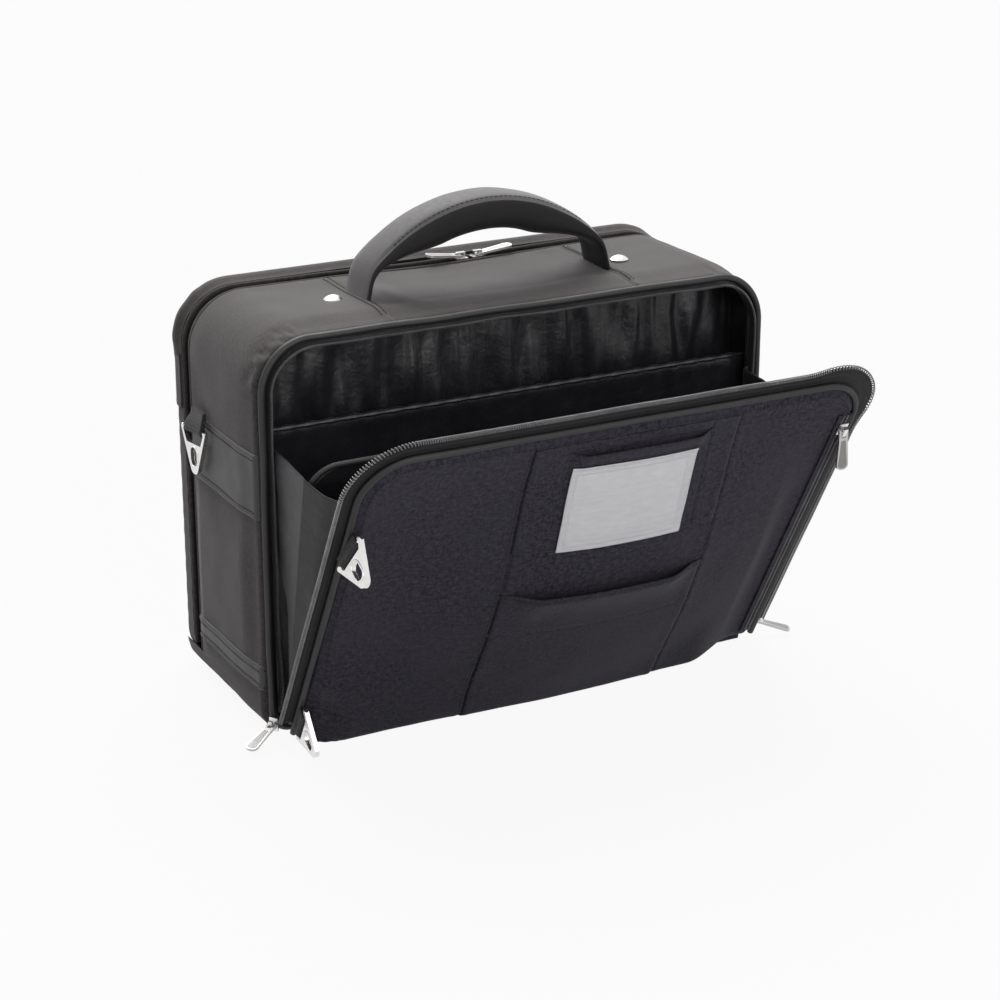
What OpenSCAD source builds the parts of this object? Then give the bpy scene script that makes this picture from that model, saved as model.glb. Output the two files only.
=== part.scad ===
// Soft-sided document case: a padded body with a zipped rear lid, a front
// flap that drops open on side gussets, a padded carrying handle and strap rings.
// +Z is up, the flap faces -Y, and the origin is on the base, below the middle.

/* [Body] */
// Width of the body
bag_w = 410; // [350:5:470]
// Height of the body
bag_h = 295; // [250:5:340]
// Depth from the origin forward to the start of the front roll
front_depth = 66; // [60:1:90]
// Depth from the origin back to the rear edge of the body
rear_depth = 44; // [38:1:70]
// Depth of the rear lid's side wall
lid_wall = 10; // [6:1:20]
// Thickness of the padded walls
wall = 4; // [3:0.5:5]
// Radius of the upper corners
top_corner_r = 42; // [34:1:60]
// Radius of the lower corners
low_corner_r = 18; // [16:1:26]
// Radius of the padded roll round the front and rear edges
roll_r = 7; // [6:0.5:9]
// Width of the lip inside the front roll
lip_w = 4; // [3:0.5:6]

/* [Inside] */
// Depth of the document space between the front divider and the partition
document_space = 26; // [15:1:26]
// Thickness of the partition and of the document divider
board_t = 2.5; // [2:0.5:4]
// Height of the document divider
document_h = 224; // [180:2:230]
// Height of the laptop divider measured along its face
divider_h = 212; // [160:2:216]
// Thickness of the laptop divider
divider_t = 4; // [3:0.5:5]
// Lean of the laptop divider in the open pose
divider_open = 11.9; // [8:0.1:13]

/* [Flap] */
// Distance of the flap panel's side edges inside the body's sides
flap_margin = 15.5; // [15.5:0.5:35]
// Height of the flap panel inside its piping
flap_h = 279.5; // [235:0.5:285]
// Thickness of the flap at its edges
flap_t = 7.5; // [6:0.5:9]
// How far the flap leans forward when open
flap_open = 29; // [20:0.5:32]
// Swell of the filled flap above its edges
crown = 26; // [10:1:30]
// Radius of the swollen area
crown_reach = 165; // [140:1:170]
// Sideways place of the swell's peak
crown_x = 20; // [-30:1:40]
// Height of the swell's peak above the hinge
crown_v = 98; // [80:1:130]
// Left edge of the middle pockets
pocket_left = -71; // [-110:1:-55]
// Right edge of the middle pockets
pocket_right = 89; // [60:1:110]
// Height of the lower pocket's mouth
low_pocket_v = 145; // [120:1:165]
// Height of the seam between the two middle pockets
pocket_seam_v = 182; // [175:1:195]
// Height of the slit that is the upper pocket's mouth
high_pocket_v = 264; // [256:1:266]
// Width of the clear card window
window_w = 97; // [90:1:120]
// Height of the clear card window
window_h = 71; // [58:1:72]
// Width of the card in the window
card_w = 85.6; // [70:0.1:86]
// Height of the card in the window
card_h = 54; // [40:0.5:56]

/* [Handle] */
// Height of the handle's crown above the top panel
handle_rise = 64.5; // [55:0.5:80]
// Radius of the handle's outer arch
handle_r = 125; // [118:1:140]
// Thickness of the handle at its crown
handle_t = 26; // [20:1:30]
// Width of the handle from front to rear
handle_w = 38; // [30:1:44]
// Place of the handle behind the origin
handle_y = -12; // [-20:1:0]
// Tilt of the handle each way
handle_tilt = 18; // [10:1:20]
// Diameter of the rivet heads
rivet_d = 14; // [10:0.5:16]
// Gap between each rivet head and the handle's leg
rivet_gap = 5.4; // [3:0.2:20]

/* [Trim] */
// Radius of the piping round the body rims
piping_r = 2.6; // [2:0.1:3]
// Thickness of the zip tapes
tape_t = 1.2; // [0.8:0.1:1.6]
// Radius of each zip coil
coil_r = 1; // [0.8:0.1:1.2]
// Height of the side band's lower edge
band_z = 162; // [130:1:170]
// Height of the side band
band_h = 48; // [40:1:60]
// Height of the lower trim strip's lower edge
strip_z = 34; // [30:1:50]
// Height of the lower trim strip
strip_h = 18; // [12:1:24]
// Height of the trolley strap
trolley_h = 41; // [30:1:60]
// Height of the trolley strap's lower edge
trolley_z = 206; // [150:1:220]

/* [Metal] */
// Radius of the bar of a strap ring
ring_bar_r = 1.6; // [1.2:0.1:2]
// Width of a strap ring at its bar
ring_w = 32; // [26:1:36]
// Length of a side strap ring from its bar to its tip
ring_len = 33; // [28:1:40]
// Length of a flap ring from its bar to its tip
flap_ring_len = 28; // [28:1:36]
// Radius of the round ends of a strap ring's eye
ring_eye_r = 4.3; // [3:0.1:4.5]
// Length of a zip pull
pull_len = 29; // [22:1:34]
// Width of a zip pull at its free end
pull_w = 9.6; // [8:0.2:11]

/* [Hidden] */
$fn = 48;

// Gap between pieces that are sewn or riveted together
seam_gap = 0.2;
// Gap between pieces that move against each other
free_gap = 0.3;
half_w = bag_w / 2;
roll_f = front_depth;
lip_f = roll_f + roll_r;
back_f = -rear_depth;
zip_low = low_corner_r + 4;

// Front rim: the piping leans on the roll, the zip stands inside it
piping_side = 2;
piping_reach = roll_r + piping_r + seam_gap;
piping_f = roll_f + sqrt(piping_reach * piping_reach - piping_side * piping_side);
front_tape_len = 6.5;
front_zip_o = -(roll_r + lip_w - 1);

// Rear rim: two coil halves on either side of the chain's middle line
rim_piping_r = 1.8;
chain_half = coil_r + 0.6;
chain_f = back_f - 8.5;
rear_zip_o = -(wall + seam_gap);
rear_piping_o = rear_zip_o + tape_t / 2 + seam_gap + rim_piping_r;
lid_f = chain_f - 8.5;
lid_roll_f = lid_f - lid_wall;
lid_back_f = lid_roll_f - roll_r;
lid_low = 9.5;
lid_hinge_z = 8;
lid_roll_r = 1.1;
lid_lip_inset = 60;
sill_top = 8.5;

// Flap hinge: a rolled fabric edge on the hinge line
flap_roll_r = 3.4;
flap_hinge_f = piping_f + piping_r + 7.4;
flap_hinge_z = 4.9;
flap_low = flap_roll_r + 0.4;
flap_half = half_w - flap_margin;
flap_high = flap_h;
flap_corner_r = 32;
flap_low_r = 4;
flap_piping_r = 2.4;
flap_piping_o = flap_piping_r + seam_gap;
flap_tape_w = 12;
crown_r = (crown_reach * crown_reach + crown * crown) / (2 * crown);
zip_strip_w = 16;
pocket_zip_x = flap_half - zip_strip_w / 2 + 1;
pocket_zip_t = flap_t + seam_gap + coil_r;
pocket_zip_top = flap_high - flap_corner_r + 6;
pocket_slider_v = pocket_zip_top - 12;
pocket_t = 1.2;
pocket_top_v = flap_high - 6;
slit_h = 2.5;
layer_gap = 0.2;
window_t = 0.8;
card_t = 0.6;
window_mid_x = (pocket_left + pocket_right) / 2;
window_mid_v = pocket_seam_v + 1 + window_h / 2;
floor_gap = 0.5;

// Dividers inside the front compartment
document_f = roll_f - 3;
partition_f = document_f - board_t - document_space;
divider_hinge_f = piping_f + piping_r + 4.8;
divider_hinge_z = 6;
divider_low = 3.4;
binding_r = 2.2;
gusset_t = 1.2;
gusset_x = half_w - roll_r - lip_w - 1.6;
divider_half = gusset_x - 0.6 - 2 * binding_r - seam_gap;
divider_corner_r = 20;
gusset_top = divider_h - 4;
gusset_low = 8;
gusset_flap_v = flap_high * 0.84;

// Handle: outer arch less a flatter inner arch
handle_pivot_z = bag_h + 9.5;
handle_mid_z = bag_h + handle_rise - handle_r;
inner_r = handle_r - 1;
inner_mid_z = bag_h + handle_rise - handle_t - inner_r;
handle_edge_r = 12;
root_slope = handle_tilt + 2;
root_x = sqrt(pow(inner_r, 2) - pow(handle_pivot_z - inner_mid_z, 2)) + 2;
root_out = sqrt(pow(handle_r, 2) - pow(handle_pivot_z - handle_mid_z, 2)) + 1;
rivet_x = root_out + rivet_gap + rivet_d / 2;

// Metal fittings
ring_t = 2 * ring_bar_r;
ring_arm_w = 3;
ring_tip_r = 5;
ring_plate = 23;
ring_y = 20;
loop_w = 22;
loop_r = ring_bar_r + 1.3;
bar_fit = 0.15;
band_t = 1.4;
side_ring_turn = 10;
side_ring_o = band_t + seam_gap + loop_r + ring_w / 2 * sin(side_ring_turn) + 0.5;
side_ring_z = band_z + 41;
slider_len = 10;
slider_w = 7.2;
wing_t = 1.4;
chain_gap = 0.4;
bar_r = 0.8;
bridge_w = 3;
bridge_x = 3;
bridge_post = 1.2;
pull_t = 1.8;
pull_arm = 2;
pull_plate_x = 5;
slider_lift = 2 * wing_t + chain_gap + coil_r;
main_slider_x = [17, 31];
main_pull_lift = 7;
flap_pull_droop = 15;
// Parked front sliders: distance inside the body's side and heading of the pull
left_park = [2, 211.6];
right_park = [2, 211.6];
upper_ring_v = flap_high * 0.745;
upper_ring_turn = 17;
lower_ring_v = 27;

cloth = "#35343a";
side_cloth = "#403e3f";
lining = "#1d1d20";
edging = "#4a494d";
metal = "#d7d8da";
leather = "#2b2a2c";
webbing = "#232325";

// Upright frame: drawn flat as (across, up, forward), then stood up
module upright() {
    rotate([90, 0, 0]) children();
}

// Frame of the flap at its hinge line, leaning open
module on_flap() {
    translate([0, -flap_hinge_f, flap_hinge_z])
        rotate([flap_open, 0, 0])
            upright() children();
}

// Frame of the laptop divider at its hinge line, leaning open
module on_divider() {
    translate([0, -divider_hinge_f, divider_hinge_z])
        rotate([divider_open, 0, 0])
            upright() children();
}

module both_sides() {
    children();
    mirror([1, 0, 0]) children();
}

// Rounded rectangle, wider corners at the top than at the bottom
module outline(half, low, high, r_top, r_low) {
    translate([-half, low + r_low])
        square([2 * half, high - low - r_top - r_low]);
    translate([-(half - r_top), high - r_top])
        square([2 * (half - r_top), r_top]);
    translate([-(half - r_low), low])
        square([2 * (half - r_low), r_low]);
    for (side = [-1, 1]) {
        translate([side * (half - r_top), high - r_top]) circle(r_top);
        translate([side * (half - r_low), low + r_low]) circle(r_low);
    }
}

// Outline of the body drawn in by a margin
module body_outline(inset) {
    outline(half_w - inset, inset, bag_h - inset, top_corner_r - inset, low_corner_r - inset);
}

// Outline of the flap panel drawn in by a margin
module flap_outline(inset) {
    outline(flap_half - inset, flap_low, flap_high - inset, flap_corner_r - inset, flap_low_r);
}

module rim_corner(x, z, turn, r) {
    translate([x, z, 0])
        rotate([0, 0, turn])
            rotate_extrude(angle = 90)
                translate([r, 0]) children();
}

// Section (outward, forward) swept up one side, over the top and down the other
module arch_rim(half, low, high, r) {
    translate([half, high - r, 0])
        rotate([90, 0, 0]) linear_extrude(high - r - low) children();
    translate([-half, low, 0])
        rotate([90, 0, 180]) linear_extrude(high - r - low) children();
    translate([-(half - r), high, 0])
        rotate([90, 0, 90]) linear_extrude(2 * (half - r)) children();
    rim_corner(half - r, high - r, 0, r) children();
    rim_corner(-(half - r), high - r, 90, r) children();
}

// The same section swept all the way round
module closed_rim(half, low, high, r_top, r_low) {
    arch_rim(half, low + r_low, high, r_top) children();
    translate([half - r_low, low, 0])
        rotate([90, 0, -90]) linear_extrude(2 * (half - r_low)) children();
    rim_corner(-(half - r_low), low + r_low, 180, r_low) children();
    rim_corner(half - r_low, low + r_low, 270, r_low) children();
}

module body_rim() {
    closed_rim(half_w, 0, bag_h, top_corner_r, low_corner_r) children();
}

module body_arch() {
    arch_rim(half_w, zip_low, bag_h, top_corner_r) children();
}

module flap_arch(low) {
    arch_rim(flap_half, low, flap_high, flap_corner_r) children();
}

// Points where the outer tangent of two circles touches them
function tangent(a, ra, b, rb) =
    let (
        run = b - a,
        u = run / norm(run),
        s = (ra - rb) / norm(run),
        across = s * u + sqrt(1 - s * s) * [u[1], -u[0]]
    )
    [a + ra * across, b + rb * across];

// Convex plate with a round at each corner, points listed anticlockwise
module soft_plate(points, radii) {
    count = len(points);
    polygon([
        for (i = [0:count - 1])
            each tangent(points[i], radii[i], points[(i + 1) % count], radii[(i + 1) % count])
    ]);
    for (i = [0:count - 1])
        translate(points[i]) circle(radii[i]);
}

module quarter_roll() {
    intersection() {
        difference() {
            circle(roll_r);
            circle(roll_r - wall);
        }
        square(roll_r);
    }
}

module body_shell() {
    color(side_cloth) upright() body_rim() {
        translate([-wall, back_f])
            square([wall, roll_f - back_f]);
        translate([-roll_r, roll_f])
            quarter_roll();
        translate([-roll_r - lip_w, lip_f - wall])
            square([lip_w, wall]);
    }
}

// Base strip under the lid, with the rolled edge that the lid turns on
module rear_sill() {
    hinge_half = half_w - lid_lip_inset;
    color(side_cloth) upright() {
        intersection() {
            translate([0, 0, lid_back_f + 1])
                linear_extrude(back_f - seam_gap - lid_back_f - 1)
                    difference() {
                        body_outline(0);
                        body_outline(wall);
                    }
            translate([-half_w, 0, lid_back_f])
                cube([bag_w, sill_top, back_f - lid_back_f]);
        }
        translate([-hinge_half, lid_hinge_z, lid_back_f])
            rotate([0, 90, 0]) cylinder(r = lid_roll_r, h = 2 * hinge_half);
        translate([-hinge_half, wall / 2, lid_back_f - 0.6])
            cube([2 * hinge_half, lid_hinge_z - wall / 2, 1.8]);
    }
}

module base_board() {
    margin = 2 * low_corner_r;
    color(lining)
        translate([-half_w + margin, -(partition_f - board_t) + free_gap, wall + seam_gap])
            cube([bag_w - 2 * margin, rear_depth + partition_f - board_t - 1, board_t]);
}

module partition_wall() {
    color(lining) upright()
        translate([0, 0, partition_f - board_t])
            linear_extrude(board_t) body_outline(wall + seam_gap);
}

module document_divider() {
    hem_r = board_t / 2 + 0.6;
    color(lining) upright() {
        translate([0, 0, document_f - board_t]) linear_extrude(board_t)
            intersection() {
                body_outline(wall + seam_gap);
                translate([-half_w, 0]) square([bag_w, document_h]);
            }
        translate([-half_w + wall + 2, document_h, document_f - board_t / 2])
            rotate([0, 90, 0]) cylinder(r = hem_r, h = bag_w - 2 * wall - 4);
    }
}

module front_rim_piping() {
    color(edging) upright() body_rim()
        translate([piping_side - roll_r, piping_f]) circle(piping_r);
}

module front_rim_zip() {
    color(edging) upright() body_arch() {
        translate([front_zip_o - tape_t / 2, lip_f + seam_gap])
            square([tape_t, front_tape_len]);
        translate([front_zip_o, lip_f + seam_gap + front_tape_len + coil_r / 2])
            circle(coil_r);
    }
}

module rear_rim_piping() {
    color(edging) upright() body_arch()
        translate([rear_piping_o, back_f - seam_gap - rim_piping_r]) circle(rim_piping_r);
}

// One half of the main zip: side is 1 on the body and -1 on the lid
module rear_zip_half(side, edge_f) {
    coil_f = chain_f + side * chain_half;
    tape_f = coil_f + side * coil_r / 2;
    color(edging) upright() body_arch() {
        translate([rear_zip_o - tape_t / 2, min(tape_f, edge_f)])
            square([tape_t, abs(edge_f - tape_f)]);
        translate([rear_zip_o, coil_f]) circle(coil_r);
    }
}

module rear_rim_zip() {
    rear_zip_half(1, back_f - seam_gap);
}

module side_patch(z, height, front_margin) {
    rear_y = rear_depth - 1;
    front_y = -roll_f + front_margin;
    translate([-half_w - seam_gap - band_t, front_y, z])
        cube([band_t, rear_y - front_y, height]);
}

module left_side_band() {
    color(leather) side_patch(band_z, band_h, 1);
}

module right_side_band() {
    color(leather) mirror([1, 0, 0]) side_patch(band_z, band_h, 1);
}

module left_trim_strip() {
    color(leather) side_patch(strip_z, strip_h, 1);
}

module right_trim_strip() {
    color(leather) mirror([1, 0, 0]) side_patch(strip_z, strip_h, 1);
}

// Webbing loop in section: a folded end round the bar and a sewn tail
module loop_section(tail_x, tail_w, tail_len) {
    difference() {
        union() {
            circle(loop_r);
            translate([tail_x, 0]) square([tail_w, tail_len]);
        }
        circle(ring_bar_r + bar_fit);
    }
}

module at_side_ring() {
    translate([-half_w - side_ring_o, ring_y, side_ring_z]) children();
}

// Folded tab: flat against the side, with the ring's end turned away from it
module side_ring_loop() {
    tail_h = 15;
    seat = side_ring_o - band_t - 2 * seam_gap;
    color(webbing) at_side_ring() difference() {
        union() {
            rotate([90, 0, side_ring_turn]) translate([0, 0, -loop_w / 2])
                cylinder(r = loop_r, h = loop_w);
            linear_extrude(tail_h) intersection() {
                rotate(side_ring_turn) translate([0, -loop_w / 2])
                    square([2 * side_ring_o, loop_w]);
                translate([-loop_w, -loop_w]) square([seat + loop_w, 2 * loop_w]);
            }
        }
        rotate([90, 0, side_ring_turn]) translate([0, 0, -loop_w])
            cylinder(r = ring_bar_r + bar_fit, h = 2 * loop_w);
    }
}

module left_ring_loop() {
    side_ring_loop();
}

module right_ring_loop() {
    mirror([1, 0, 0]) side_ring_loop();
}

// Roof-shaped strap ends that the handle rocks on
module handle_roots() {
    eave = handle_pivot_z - free_gap - handle_w / 2 * tan(root_slope);
    color(leather) both_sides()
        translate([root_x, handle_y, 0]) rotate([90, 0, 90])
            linear_extrude(root_out - root_x) polygon([
                [-handle_w / 2, bag_h + seam_gap],
                [handle_w / 2, bag_h + seam_gap],
                [handle_w / 2, eave],
                [0, handle_pivot_z - free_gap],
                [-handle_w / 2, eave]
            ]);
}

module handle_rivets() {
    dome_h = 3;
    dome_r = (rivet_d * rivet_d / 4 + dome_h * dome_h) / (2 * dome_h);
    color(metal) both_sides()
        translate([rivet_x, handle_y, bag_h + seam_gap])
            intersection() {
                cylinder(d = rivet_d, h = dome_h);
                translate([0, 0, dome_h - dome_r]) sphere(dome_r, $fn = 96);
            }
}

module handle_plates() {
    plate_t = 1.5;
    color(lining) both_sides()
        translate([root_x - 4, handle_y - handle_w / 2, bag_h - wall - seam_gap - plate_t])
            cube([rivet_x - root_x + 12, handle_w, plate_t]);
}

module flap_hinge_strip() {
    strip_half = flap_half - 4;
    web_f = piping_f + piping_r + free_gap;
    color(cloth) upright() {
        translate([-strip_half, flap_hinge_z, flap_hinge_f])
            rotate([0, 90, 0]) cylinder(r = flap_roll_r, h = 2 * strip_half);
        translate([-strip_half, flap_hinge_z - 2.4, web_f])
            cube([2 * strip_half, 4.4, flap_hinge_f - web_f]);
    }
}

// Point (forward, up) at a height along a leaning panel and a distance before it
function leaning(hinge_f, hinge_z, lean, up, before) = [
    hinge_f + up * sin(lean) + before * cos(lean),
    hinge_z + up * cos(lean) - before * sin(lean)
];

function divider_point(up, before) =
    leaning(divider_hinge_f, divider_hinge_z, divider_open, up, before);

function flap_point(up, before) =
    leaning(flap_hinge_f, flap_hinge_z, flap_open, up, before);

module gusset(points) {
    color(lining)
        translate([-gusset_x, 0, 0])
            rotate([90, 0, -90])
                linear_extrude(gusset_t)
                    polygon(points);
}

module rear_gusset() {
    gusset([
        [lip_f - 2, divider_point(gusset_low, 0)[1] + 4],
        divider_point(gusset_low, -free_gap),
        divider_point(gusset_top, -free_gap),
        [lip_f - 2, divider_point(gusset_top, 0)[1] + 3]
    ]);
}

module front_gusset() {
    gusset([
        divider_point(gusset_low, free_gap),
        flap_point(gusset_low + 6, -free_gap),
        flap_point(gusset_flap_v, -free_gap),
        divider_point(gusset_top, free_gap)
    ]);
}

module left_rear_gusset() {
    rear_gusset();
}

module right_rear_gusset() {
    mirror([1, 0, 0]) rear_gusset();
}

module left_front_gusset() {
    front_gusset();
}

module right_front_gusset() {
    mirror([1, 0, 0]) front_gusset();
}

// Zip slider on a zip along X, its origin where the pull's bar turns
module slider(depth) {
    top = -chain_gap - wing_t + chain_gap;
    bridge_top = bar_r + 2 * wing_t - 0.8;
    color(metal) {
        translate([-slider_len / 2, -slider_w / 2, -2 * wing_t])
            cube([slider_len, slider_w, wing_t]);
        for (end = [-1, 1])
            translate([end * bridge_x - bridge_post / 2, -bridge_w / 2, top])
                cube([bridge_post, bridge_w, bridge_top - top]);
        translate([-bridge_x - bridge_post / 2, -bridge_w / 2, bridge_top - bridge_post])
            cube([2 * bridge_x + bridge_post, bridge_w, bridge_post]);
        if (depth > 0) {
            translate([-slider_len / 2 + 1, -chain_half + coil_r + free_gap, -2 * wing_t - depth])
                cube([slider_len - 2, 2 * (chain_half - coil_r - free_gap), depth]);
            translate([-slider_len / 2, -slider_w / 2, -3 * wing_t - depth])
                cube([slider_len, slider_w, wing_t]);
        }
    }
}

// Zip pull along +X from its bar, which turns under the slider's bridge
module pull() {
    color(metal) {
        rotate([90, 0, 0])
            translate([0, 0, -bridge_w / 2 - free_gap - pull_arm])
                cylinder(r = bar_r, h = bridge_w + 2 * free_gap + 2 * pull_arm);
        translate([0, 0, -pull_t / 2]) linear_extrude(pull_t) {
            for (side = [-1, 1])
                translate([0, side * (bridge_w / 2 + free_gap + pull_arm / 2) - pull_arm / 2])
                    square([pull_plate_x + 2, pull_arm]);
            soft_plate(
                [
                    [pull_plate_x + 0.6, -bridge_w / 2 - 1.4],
                    [pull_len - pull_w * 0.4, -pull_w * 0.1],
                    [pull_len - pull_w * 0.4, pull_w * 0.1],
                    [pull_plate_x + 0.6, bridge_w / 2 + 1.4]
                ],
                [0.6, pull_w * 0.4, pull_w * 0.4, 0.6]
            );
        }
    }
}

module at_flap_slider(park) {
    translate([park[0] - half_w, -(piping_f + piping_r + 3.8), 12])
        rotate([0, 0, park[1]]) children();
}

// Slider parked at the lower end of the opened front zip, facing the pull's way
module parked_slider(park) {
    at_flap_slider(park) rotate([0, 0, 90]) rotate([90, -90, 0]) slider(0);
}

module parked_pull(park) {
    at_flap_slider(park) rotate([0, flap_pull_droop, 0]) pull();
}

module left_flap_slider() {
    parked_slider(left_park);
}

module right_flap_slider() {
    mirror([1, 0, 0]) parked_slider(right_park);
}

module left_flap_pull() {
    parked_pull(left_park);
}

module right_flap_pull() {
    mirror([1, 0, 0]) parked_pull(right_park);
}

module above_floor() {
    reach = 2 * bag_w;
    difference() {
        children();
        translate([-reach, -reach, floor_gap - reach])
            cube([2 * reach, 2 * reach, reach]);
    }
}

// Everything under the flap's outer face raised by a step
module face_block(step) {
    linear_extrude(flap_t + step) flap_outline(0);
    intersection() {
        translate([crown_x, crown_v, flap_t + crown - crown_r])
            sphere(crown_r + step, $fn = 200);
        linear_extrude(flap_t + crown + step + 1)
            intersection() {
                flap_outline(flap_piping_r);
                translate([-flap_half, 0])
                    square([2 * flap_half - zip_strip_w, flap_high]);
            }
    }
}

// Sheet that follows the flap's outer face between two steps
module face_sheet(inner, thickness) {
    above_floor() on_flap() intersection() {
        difference() {
            face_block(inner + thickness);
            face_block(inner);
        }
        linear_extrude(flap_t + 2 * crown) children();
    }
}

module flap_panel() {
    color(cloth) above_floor() on_flap() face_block(0);
}

module flap_piping() {
    color(edging) on_flap() flap_arch(flap_low + 3)
        translate([flap_piping_o, flap_t - flap_piping_r]) circle(flap_piping_r);
}

module flap_zip() {
    color(edging) on_flap() flap_arch(flap_low + 12) {
        translate([seam_gap, free_gap]) square([flap_tape_w, tape_t]);
        translate([flap_tape_w + coil_r / 2, free_gap + tape_t / 2]) circle(coil_r);
    }
}

module upper_pocket() {
    slit_left = pocket_left + 29;
    slit_w = pocket_right - 22 - slit_left;
    color(cloth) face_sheet(layer_gap, pocket_t) difference() {
        translate([pocket_left, pocket_seam_v])
            square([pocket_right - pocket_left, pocket_top_v - pocket_seam_v]);
        translate([slit_left, high_pocket_v]) square([slit_w, slit_h]);
    }
}

module lower_pocket() {
    color(cloth) face_sheet(layer_gap, pocket_t)
        translate([pocket_left, flap_low + 2])
            square([pocket_right - pocket_left, low_pocket_v - flap_low - 2]);
}

module card_window() {
    color([0.75, 0.76, 0.8, 0.6])
        face_sheet(pocket_t + 3 * layer_gap + card_t, window_t)
            translate([window_mid_x - window_w / 2, window_mid_v - window_h / 2])
                square([window_w, window_h]);
}

module id_card() {
    color("#8d8c92") face_sheet(pocket_t + 2 * layer_gap, card_t)
        translate([window_mid_x - card_w / 2, window_mid_v - card_h / 2])
            square([card_w, card_h]);
}

module pocket_zip() {
    tape_w = 5;
    low = flap_low + 12;
    color(edging) on_flap()
        for (side = [-1, 1])
            translate([pocket_zip_x, pocket_zip_top, pocket_zip_t])
                rotate([90, 0, 0]) linear_extrude(pocket_zip_top - low) {
                    translate([side * (chain_half + tape_w / 2) - tape_w / 2, -tape_t / 2])
                        square([tape_w, tape_t]);
                    translate([side * chain_half, 0]) circle(coil_r);
                }
}

module at_flap_ring(v, turn) {
    on_flap() translate([-flap_half - flap_piping_o, v, flap_t + seam_gap + 2 * loop_r])
        rotate([0, 0, -turn]) children();
}

module flap_loop(v, turn) {
    tail_w = 3.6;
    color(webbing) at_flap_ring(v, turn)
        translate([0, loop_w / 2, 0])
            rotate([90, 0, 0]) linear_extrude(loop_w)
                rotate(180) loop_section(-tail_w / 2, tail_w, 2 * loop_r);
}

module upper_flap_loop() {
    flap_loop(upper_ring_v, upper_ring_turn);
}

module lower_flap_loop() {
    flap_loop(lower_ring_v, 0);
}

module laptop_divider() {
    color(lining) on_divider()
        translate([0, 0, -divider_t / 2]) linear_extrude(divider_t)
            outline(divider_half, divider_low, divider_h, divider_corner_r, 2);
}

module divider_binding() {
    color(edging) on_divider()
        arch_rim(divider_half, divider_low + 2, divider_h, divider_corner_r)
            translate([binding_r + seam_gap, 0]) circle(binding_r);
}

module lid_panel() {
    color(cloth) upright() {
        closed_rim(half_w, lid_low, bag_h, top_corner_r, low_corner_r) {
            translate([-wall, lid_roll_f])
                square([wall, lid_wall]);
            translate([-roll_r, lid_roll_f])
                mirror([0, 1, 0]) quarter_roll();
        }
        translate([0, 0, lid_back_f]) linear_extrude(wall)
            outline(half_w - roll_r, lid_low + roll_r, bag_h - roll_r,
                    top_corner_r - roll_r, low_corner_r - roll_r);
        translate([-half_w + lid_lip_inset, lid_hinge_z + lid_roll_r + free_gap, lid_back_f])
            cube([bag_w - 2 * lid_lip_inset, lid_low + roll_r - lid_hinge_z, wall - 1]);
    }
}

module lid_piping() {
    color(edging) upright() body_arch()
        translate([rear_piping_o, lid_f + seam_gap + rim_piping_r]) circle(rim_piping_r);
}

module lid_zip() {
    rear_zip_half(-1, lid_f + seam_gap);
}

// End of the trolley strap, wrapped round the lid's rolled edge and up its side
module strap_turn(seat_r, strap_t) {
    tail = lid_wall - 1;
    difference() {
        intersection() {
            circle(seat_r + strap_t);
            square(seat_r + strap_t);
        }
        circle(seat_r);
    }
    translate([seat_r, -tail]) square([strap_t, tail]);
}

// Band across the lid that slips over a trolley's handle
module trolley_strap() {
    lift = 4.8;
    strap_t = 1.6;
    end_x = half_w - roll_r;
    seat_y = -lid_back_f + seam_gap;
    color(cloth) translate([0, 0, trolley_z]) linear_extrude(trolley_h) {
        polygon([
            [-end_x, seat_y],
            [-end_x, seat_y + strap_t],
            [-end_x + 32, seat_y + lift + strap_t],
            [end_x - 32, seat_y + lift + strap_t],
            [end_x, seat_y + strap_t],
            [end_x, seat_y],
            [end_x - 27, seat_y],
            [end_x - 40, seat_y + lift],
            [-end_x + 40, seat_y + lift],
            [-end_x + 27, seat_y]
        ]);
        for (side = [0, 1])
            mirror([side, 0])
                translate([end_x, -lid_roll_f]) strap_turn(roll_r + seam_gap, strap_t);
    }
}

// Arched grip: a revolved section, thinned to its ends by the inner arch
module handle_grip() {
    deep = 40;
    color(leather) translate([0, handle_y, 0]) intersection() {
        difference() {
            translate([0, 0, handle_mid_z]) rotate([90, 0, 0])
                rotate_extrude(angle = 180, $fn = 160) {
                    translate([handle_r - deep, -handle_w / 2])
                        square([deep - handle_edge_r, handle_w]);
                    translate([handle_r - handle_edge_r, -handle_w / 2 + handle_edge_r])
                        square([handle_edge_r, handle_w - 2 * handle_edge_r]);
                    for (side = [-1, 1])
                        translate([handle_r - handle_edge_r, side * (handle_w / 2 - handle_edge_r)])
                            circle(handle_edge_r);
                }
            translate([0, handle_w, inner_mid_z]) rotate([90, 0, 0])
                cylinder(r = inner_r, h = 2 * handle_w, $fn = 200);
        }
        translate([-half_w, -handle_w, handle_pivot_z])
            cube([bag_w, 2 * handle_w, handle_rise]);
    }
}

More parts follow.
